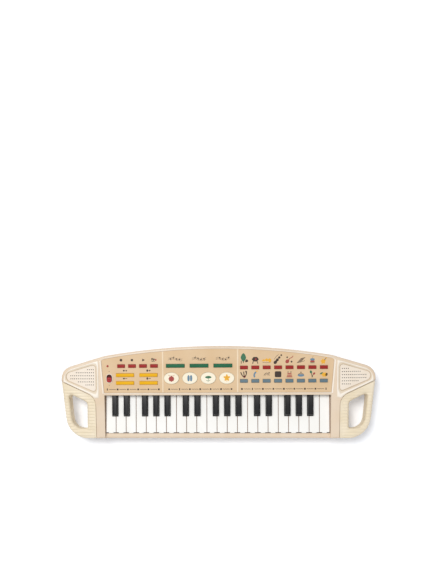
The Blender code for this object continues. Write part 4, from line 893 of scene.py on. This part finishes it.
def blob(x, y, rx, ry, power=2.0, lobes=0, depth=0.0, turn=0.0, sides=0):
    """Outline of a printed shape."""
    if sides:
        return polygon(x, y, rx, ry, sides, turn)
    return superellipse(x, y, rx, ry, power, 40 if lobes else 28, lobes, depth, turn)


def stroke(start, end, bulge=0.0, wave=0.0, waves=1.0, count=25):
    """Path of a printed line: straight between two points, plus a bulge of four times the share gone and left, and a
    sine wave across it."""
    start, end = np.array(start, float), np.array(end, float)
    t = arc(0, 1, count if bulge or wave else 2)[:, None]
    along = end - start
    across = np.array((-along[1], along[0])) / np.linalg.norm(along)
    return start + along * t + across * (4 * bulge * t * (1 - t) + wave * np.sin(2 * math.pi * waves * t))


def printed(shapes, lines, base):
    """One body for all the shapes and lines of one ink, in the deck's own mm. Shapes are outlines, lines are paths
    with a width, and both stand up from the base by the print's rise."""
    rise = shape("print_rise")
    bodies = [closed_body(button(outline, base - 0.05, base + rise, 0.03, 2)) for outline in shapes]
    for path, width in lines:
        half = width / 2
        section = np.array([(half, -0.05), (half, rise), (-half, rise), (-half, -0.05)])
        bodies.append(swept(np.column_stack([path, np.full(len(path), base)]), section))
    points, faces = merged(bodies)
    return on_deck(points), faces


class Motif:
    """Shapes and lines of each ink, drawn about a middle on the deck."""

    def __init__(self, x=0.0, y=0.0, size=1.0):
        self.shapes = {}
        self.lines = {}
        self.at(x, y, size)

    def at(self, x, y, size=1.0):
        """Moves the middle to a place in plan, in mm."""
        self.middle = np.array((x, up_slope(y)))
        self.size = size
        return self

    def blob(self, colour, *place, **form):
        """Adds a filled shape."""
        self.shapes.setdefault(colour, []).append(self.middle + self.size * blob(*place, **form))
        return self

    def line(self, colour, width, *ends, **form):
        """Adds a line."""
        self.lines.setdefault(colour, []).append((self.middle + self.size * stroke(*ends, **form), width * self.size))
        return self

    def pieces(self, name, base, body):
        """Puts what was drawn into one object for each ink."""
        for colour in sorted(set(self.shapes) | set(self.lines)):
            full, thin, slot = INKS[colour]
            made = bpy.data.materials.get(colour) or ink(colour, full, thin)
            points, faces = printed(self.shapes.get(colour, []), self.lines.get(colour, []), base)
            add_piece(f"{name}_{colour}", points, faces, made, body, slot, 40)


class KEYS_OT_marks(bpy.types.Operator):
    """Print the marks on the control panel"""

    bl_idname = "keys.marks"
    bl_label = "Panel marks"

    def execute(self, context):
        marks = Motif()
        draw_control_marks(marks)
        draw_song_marks(marks)
        draw_voice_marks(marks)
        draw_rhythm_marks(marks)
        draw_key_row(marks)
        marks.pieces("panel_marks", -0.3, "housing")
        return {"FINISHED"}


def draw_control_marks(marks):
    """Signs over the left field's buttons and beside the switch."""
    brown, red = "brown_ink", "red_ink"
    marks.at(-162.0, 55.0, 1.15).blob(brown, 0, 0, 2.0, 2.0)
    marks.at(-143.4, 55.0, 1.15).blob(brown, 0, 0, 2.3, 2.3, sides=4, turn=math.pi / 4)
    marks.at(-124.7, 55.0, 1.15).blob(brown, 0.3, 0, 2.6, 2.4, sides=3)
    marks.at(-106.1, 55.2, 1.2)
    for k in range(3):
        marks.blob(brown if k < 2 else red, -2.6 + 2.6 * k, 1.2 - 0.6 * k, 1.1, 1.5)
    marks.line(brown, 0.9, (-3.6, -1.8), (1.0, -1.8), wave=0.3, waves=2)
    for x, sign in ((-155.55, 0.0), (-115.55, 1.0)):
        for y in (37.2, 23.8):
            marks.at(x, y, 1.2).blob(brown, -1.6, 0, 1.4, 1.1 + 0.5 * sign)
            marks.line(brown, 0.8, (0.5, 0), (3.1, 0))
            if y > 30:
                marks.line(brown, 0.8, (1.8, -1.2), (1.8, 1.2))
    for y in (36.2, 12.4):
        marks.at(SWITCH[0], y).line(brown, 0.5, (-0.9, 0), (0.9, 0), bulge=0.3 if y < 30 else -0.3)


def draw_song_marks(marks):
    """Ribbons of thin waves with beads, over the song buttons."""
    for k, x in enumerate((-70.0, -29.9, 10.2)):
        marks.at(x, 56.8)
        for row in range(3):
            marks.line("grey_ink", 0.35, (-12, 1.6 * row - 2.2), (12, 1.6 * row - 2.2), wave=1.4, waves=0.9 + 0.25 * k)
        for step in range(4):
            spot = -8.0 + 5.0 * step + 1.3 * k
            marks.blob("brown_ink", spot, 1.6 * math.sin(1.7 * step + k), 1.3, 1.0, turn=0.4)
            marks.line("brown_ink", 0.5, (spot + 0.8, 1.6 * math.sin(1.7 * step + k)),
                       (spot + 0.8, 1.6 * math.sin(1.7 * step + k) + (3.2 if (step + k) % 2 else -3.2)))


def draw_voice_marks(marks):
    """Row of eight motifs over the red buttons of the right field."""
    brown, grey, red, blue, green, yellow = "brown_ink", "grey_ink", "red_ink", "blue_ink", "green_ink", "yellow_ink"
    x = [45.51 + 19.04 * k for k in range(8)]
    marks.at(x[0], 56.4, 1.4).blob(green, -0.6, 1.4, 3.2, 5.2, power=1.5)
    for k in range(3):
        marks.line(brown, 0.8, (-3.2 + 2.6 * k, -2.6), (-3.2 + 2.6 * k, -6.0 + 0.8 * k))
    marks.blob(brown, 3.4, -2.6, 1.7, 1.7)
    marks.at(x[1], 54.3, 1.3).blob(brown, 0, 0.8, 4.6, 3.4, sides=6).line(brown, 1.0, (-2.6, -2), (-3.4, -5))
    marks.line(brown, 1.0, (2.6, -2), (3.4, -5)).blob(red, 0.6, 1.0, 1.3, 1.3)
    marks.at(x[2], 53.3, 1.2)
    for k in range(3):
        marks.blob(yellow, -4.2 + 4.2 * k, 0.6 * (k % 2), 2.3, 1.5 + 0.7 * k, power=1.6)
    marks.line(brown, 0.4, (-6, -2.4), (6, -2.4), bulge=-0.8)
    marks.at(x[3], 55.4, 1.4)
    for k in range(4):
        marks.blob(brown, -3.2 + 2.3 * k, -3.8 + 2.8 * k, 2.4 - 0.45 * k, 1.9 - 0.3 * k, turn=0.9)
    marks.line(grey, 0.5, (-4.6, -0.6), (0.6, 5.4), bulge=0.6)
    marks.at(x[4], 54.6, 1.3).blob(red, -2.8, -2.4, 2.7, 2.3, turn=0.8).line(red, 0.9, (-1, -0.6), (4.4, 4.6), wave=0.5)
    marks.blob(brown, 2.6, -2.8, 1.2, 1.2).blob(brown, -3.0, 2.8, 1.0, 1.0)
    marks.at(x[5], 54.0, 1.25)
    for k in range(4):
        marks.line(grey, 1.0, (-4.8 + 1.4 * k, -3.2 + 1.5 * k), (1.4 + 1.4 * k, -1.6 + 1.5 * k))
    marks.line(brown, 0.5, (-5.4, -3.8), (5.2, -1.0), bulge=-0.7)
    marks.at(x[6], 53.8, 1.1).blob(blue, 0, 0.6, 3.4, 1.7, power=3).blob(red, 0, -2.4, 3.4, 1.5, power=3)
    marks.line(green, 0.9, (-3.4, -4.6), (3.4, -4.6)).line(brown, 0.4, (0.4, 2.2), (1.4, 5.8), bulge=0.5)
    marks.at(x[7], 52.8, 1.1).blob(yellow, -1.2, -1.6, 3.4, 3.4, lobes=5, depth=0.22, turn=0.4)
    marks.line(brown, 0.7, (0.6, 0.6), (3.2, 3.4)).blob(yellow, 3.3, 3.6, 1.0, 1.0)


def draw_rhythm_marks(marks):
    """Row of eight motifs over the blue buttons of the right field."""
    brown, grey, red, blue, green, yellow = "brown_ink", "grey_ink", "red_ink", "blue_ink", "green_ink", "yellow_ink"
    x = [45.51 + 19.04 * k for k in range(8)]
    marks.at(x[0], 30.2, 1.2)
    for k in range(3):
        marks.line(brown, 1.3, (0.6, -4.6), (-4.4 + 4.0 * k, 3.0 + 0.8 * (k % 2)), bulge=0.8 - 0.8 * k)
    marks.blob(red, 0.8, -3.4, 1.6, 1.6).blob(grey, 3.0, 3.6, 1.4, 1.4)
    marks.at(x[1], 30.0, 1.2).line(blue, 2.2, (-0.8, -4.2), (1.2, 3.4), bulge=1.6).blob(yellow, 2.2, 4.4, 1.3, 0.9, turn=0.6)
    marks.at(x[2], 29.8, 1.2).line(grey, 0.8, (-3.8, -1.6), (3.8, -1.6), bulge=3.6).line(grey, 0.5, (-2.2, -1.6), (2.2, -1.6), bulge=1.9)
    marks.blob(brown, 3.4, 2.2, 0.9, 0.9)
    marks.at(x[3], 30.0, 1.2).blob(brown, 0, 0, 4.6, 4.2, power=6)
    marks.at(x[4], 29.8, 1.2)
    for k in range(3):
        marks.line(red, 1.4, (-3.8 + 0.5 * k, -3.4 + 2.2 * k), (3.8 - 0.5 * k, -3.4 + 2.2 * k))
    marks.blob(brown, -2.0, 3.2, 0.8, 0.8).blob(brown, 2.0, 3.2, 0.8, 0.8)
    marks.at(x[5], 29.6, 1.2).blob(blue, 0, -1.4, 4.6, 1.7).line(grey, 0.9, (-4.0, -0.2), (4.0, -0.2), bulge=1.5)
    marks.blob(grey, 0, 3.0, 0.9, 0.9)
    marks.at(x[6], 30.0, 1.2).blob(green, -2.0, 3.0, 1.6, 2.2, turn=0.3).blob(red, 2.4, 0.8, 1.9, 1.4, turn=0.8)
    marks.line(brown, 0.8, (-1.6, 1.2), (-0.4, -4.6), bulge=0.3).line(brown, 0.8, (1.4, -0.2), (0.0, -4.2), bulge=-0.4)
    marks.at(x[7], 29.8, 1.2).blob(yellow, 0.6, -0.6, 3.6, 3.0, lobes=6, depth=0.16).blob(green, -3.4, 1.2, 2.4, 1.0, turn=0.5)
    marks.blob(brown, 3.6, -0.4, 1.6, 2.2, turn=-0.3)


def draw_key_row(marks):
    """Scale along the panel's front edge: a line with a bead or a block over each white key, and a bar over every
    seventh."""
    pitch = 17.55
    for k in range(22):
        marks.at((k - 10.5) * pitch - 1.7, 5.5)
        if k % 7 == 0:
            marks.line("brown_ink", 1.6, (0, -1.8), (0, 1.8))
        else:
            marks.blob("brown_ink", 0, 0, 1.5, 1.5, **({"power": 6} if k % 2 else {}))
        if k < 21 and k not in (5, 12):
            marks.line("grey_ink", 0.9, (3.0, 0), (pitch - 3.0, 0), wave=0.2, waves=3)


class KEYS_OT_pad_marks(bpy.types.Operator):
    """Print a motif on each drum pad"""

    bl_idname = "keys.pad_marks"
    bl_label = "Pad marks"

    def execute(self, context):
        places = [-76.6, -45.47, -14.34, 16.8]
        row = DECK_Y + 28.61 * math.cos(TILT)
        sun = Motif(places[0], row).blob("red_ink", 0, -1.0, 4.6, 4.6, lobes=8, depth=0.12)
        sun.line("red_ink", 0.5, (-5.6, 5.6), (5.6, 5.6), bulge=-1.6)
        drops = Motif(places[1], row).blob("blue_ink", -2.2, 0, 1.9, 5.2, power=2.6).blob("blue_ink", 2.2, 0, 1.9, 5.2, power=2.6)
        leaf = Motif(places[2], row).blob("green_ink", 0, 1.6, 5.6, 2.2, power=1.6).line("green_ink", 0.5, (0, 0), (0, -6.2), wave=0.3)
        leaf.line("green_ink", 0.6, (-3.4, -3.6), (3.4, -3.6), bulge=-1.0)
        star = Motif(places[3], row).blob("yellow_ink", 0, 0.4, 4.6, 4.6, lobes=5, depth=0.3, turn=math.pi / 2)
        star.line("yellow_ink", 0.6, (0, -3.0), (0, -6.4))
        for number, motif in enumerate((sun, drops, leaf, star), start=1):
            motif.pieces(f"pad_{number}_mark", CAP_TOP, f"drum_pad_{number}")
        return {"FINISHED"}


# Underside


class KEYS_OT_underside(bpy.types.Operator):
    """Add the screws, the rubber feet and the finger ribs of the battery door"""

    bl_idname = "keys.underside"
    bl_label = "Underside"

    def execute(self, context):
        steel = plated("zinc_plated_steel")
        for number, (x, y) in enumerate(SCREWS, start=1):
            for side, sign in (("right", 1), ("left", -1)):
                body = screw_body(sign * x, y, 16.4, 18.0, 2.15, 1.05, 29.0)
                add_piece(f"{side}_screw_{number}", *body, steel, "housing", "grey_silicone", 35)
        add_piece("door_screw", *screw_body(*DOOR_SCREW, 3.1, 4.6, 1.65, 0.9, 7.5), steel, "battery_door", "grey_silicone", 35)
        rubber = moulded("grey_rubber", "55534F", "4C4A46", 0.85, 0.9, 0.35)
        feet = [(sign * x, y) for x in FOOT_COLUMNS for y in FOOT_ROWS for sign in (1, -1)]
        for number, (x, y) in enumerate(feet, start=1):
            add_piece(f"rubber_foot_{number}", *foot_body(x, y), rubber, "housing", "grey_silicone", 50)
        add_piece("door_ribs", *ribs_body(), finish("cream_base_abs"), "battery_door", "cream_base_abs", 60)
        return {"FINISHED"}


def screw_body(x, y, face, seat, radius, shank, tip):
    """Pan-head screw that points up: rings from the middle of its head to its rim, along its shank and to its tip. The
    head domes by the square of the radius, and its cross is cut where the lesser of both distances from the middle's
    axes is under half the slot."""
    turns = arc(0, 2 * math.pi, 65)[:-1]
    r = np.concatenate([arc(0.05, 0.62, 9) * radius, arc(0.70, 1.0, 4) * radius])[:, None]
    px, py = r * np.cos(turns), r * np.sin(turns)
    dome = face + 0.45 * (r / radius) ** 2 + 0 * px
    slot = np.clip((0.19 * radius - np.minimum(np.abs(px), np.abs(py))) / 0.1, 0, 1) * np.clip((0.64 * radius - r) / 0.1, 0, 1)
    head = np.stack([px, py, dome + 0.9 * slot], axis=-1)
    rings = [(radius, seat), (shank, seat), (shank, tip - 1.2), (0.15, tip)]
    body = [np.stack([ring * np.cos(turns), ring * np.sin(turns), z + 0 * turns], axis=-1)[None] for ring, z in rings]
    return closed_body(np.concatenate([head, *body]) + (x, y, 0))


def foot_body(x, y):
    """Rubber disc under a foot: it bulges by a quarter round at its lower edge."""
    turns = arc(0, 2 * math.pi, 49)[:-1]
    a = arc(0, math.pi / 2, 6)
    r = np.concatenate([[0.2], 5.0 + 0.5 * np.sin(a), [5.5, 0.2]])
    z = np.concatenate([[-0.35], -0.35 + 0.4 * (1 - np.cos(a)), [0.3, 0.3]])
    points = np.stack([x + r[:, None] * np.cos(turns), y + r[:, None] * np.sin(turns), z[:, None] + 0 * turns], axis=-1)
    return closed_body(points)


def ribs_body():
    """Seven half-round finger ribs across the battery door, near its free edge, 2.4 mm apart."""
    bodies = []
    for y in 48.0 + 2.4 * np.arange(7):
        path = np.column_stack([arc(14, -14, 2), np.full(2, y), np.full(2, 3.0)])
        bodies.append(swept(path, half_round(1.2, 0.45, 0.3), up=(0, 0, -1)))
    return merged(bodies)


# Stage


class KEYS_OT_stage(bpy.types.Operator):
    """Add the floor, the lights and the camera"""

    bl_idname = "keys.stage"
    bl_label = "Stage"

    def execute(self, context):
        sizes = context.scene.keys_stage
        half, low = sizes.floor_half, -0.36 * MM
        mesh = bpy.data.meshes.new("floor")
        mesh.from_pydata([(-half, -half, low), (half, -half, low), (half, half, low), (-half, half, low)], [], [(0, 1, 2, 3)])
        floor = bpy.data.objects.new("floor", mesh)
        context.scene.collection.objects.link(floor)
        sheet, tree, shader = new_material("backlit_white_acrylic", 0.9, Specular_IOR_Level=0.0)
        shader.inputs["Base Color"].default_value = linear("FDFEFF")
        shader.inputs["Emission Color"].default_value = linear("CCDAFF")
        shader.inputs["Emission Strength"].default_value = sizes.floor_glow
        mesh.materials.append(sheet)
        add_light(context, "overhead_softbox", (-1.05, 1.05, 3.4), 1.45, sizes.key_power)
        add_light(context, "front_softbox", (0.8, -1.4, 1.7), 1.2, sizes.fill_power)
        world = bpy.data.worlds.new("soft_studio")
        world.use_nodes = True
        world.node_tree.nodes["Background"].inputs["Color"].default_value = (1, 1, 1, 1)
        world.node_tree.nodes["Background"].inputs["Strength"].default_value = sizes.sky
        context.scene.world = world
        data = bpy.data.cameras.new("camera")
        data.lens = sizes.lens
        data.sensor_fit = "VERTICAL"
        data.sensor_height = 36
        data.shift_x, data.shift_y = sizes.shift
        camera = bpy.data.objects.new("camera", data)
        camera.location = (sizes.offset, 0, sizes.distance)
        camera.rotation_euler = (0, sizes.tilt, sizes.roll)
        context.scene.collection.objects.link(camera)
        context.scene.camera = camera
        context.scene.view_settings.view_transform = "Standard"
        return {"FINISHED"}


def add_light(context, name, place, size, power):
    """Square area light that points at the object."""
    data = bpy.data.lights.new(name, "AREA")
    data.size = size
    data.energy = power
    light = bpy.data.objects.new(name, data)
    light.location = place
    light.rotation_euler = (-Vector(place)).to_track_quat("-Z", "Y").to_euler()
    context.scene.collection.objects.link(light)


class KEYS_PT_panel(bpy.types.Panel):
    """Keyboard looks"""

    bl_idname = "KEYS_PT_panel"
    bl_label = "Keyboard"
    bl_space_type = "VIEW_3D"
    bl_region_type = "UI"
    bl_category = "Keyboard"

    def draw(self, context):
        for settings in (context.scene.keys_shapes, context.scene.keys_stage):
            for name in settings.__annotations__:
                self.layout.prop(settings, name)
        for operator in OPERATORS:
            self.layout.operator(operator.bl_idname)


OPERATORS = (KEYS_OT_finishes, KEYS_OT_housings, KEYS_OT_grips, KEYS_OT_pods, KEYS_OT_keys, KEYS_OT_buttons,
             KEYS_OT_trim, KEYS_OT_marks, KEYS_OT_pad_marks, KEYS_OT_underside, KEYS_OT_stage)
CLASSES = (KEYS_PG_stage, KEYS_PG_shapes, *OPERATORS, KEYS_PT_panel)


def register():
    """Adds the classes and the scene's settings."""
    for item in CLASSES:
        bpy.utils.register_class(item)
    bpy.types.Scene.keys_stage = bpy.props.PointerProperty(type=KEYS_PG_stage)
    bpy.types.Scene.keys_shapes = bpy.props.PointerProperty(type=KEYS_PG_shapes)


def unregister():
    """Takes them away again."""
    del bpy.types.Scene.keys_shapes
    del bpy.types.Scene.keys_stage
    for item in reversed(CLASSES):
        bpy.utils.unregister_class(item)


def main():
    """Makes everything in order."""
    register()
    for operator in OPERATORS:
        getattr(bpy.ops.keys, operator.bl_idname.split(".")[1])()


if __name__ == "__main__":
    main()
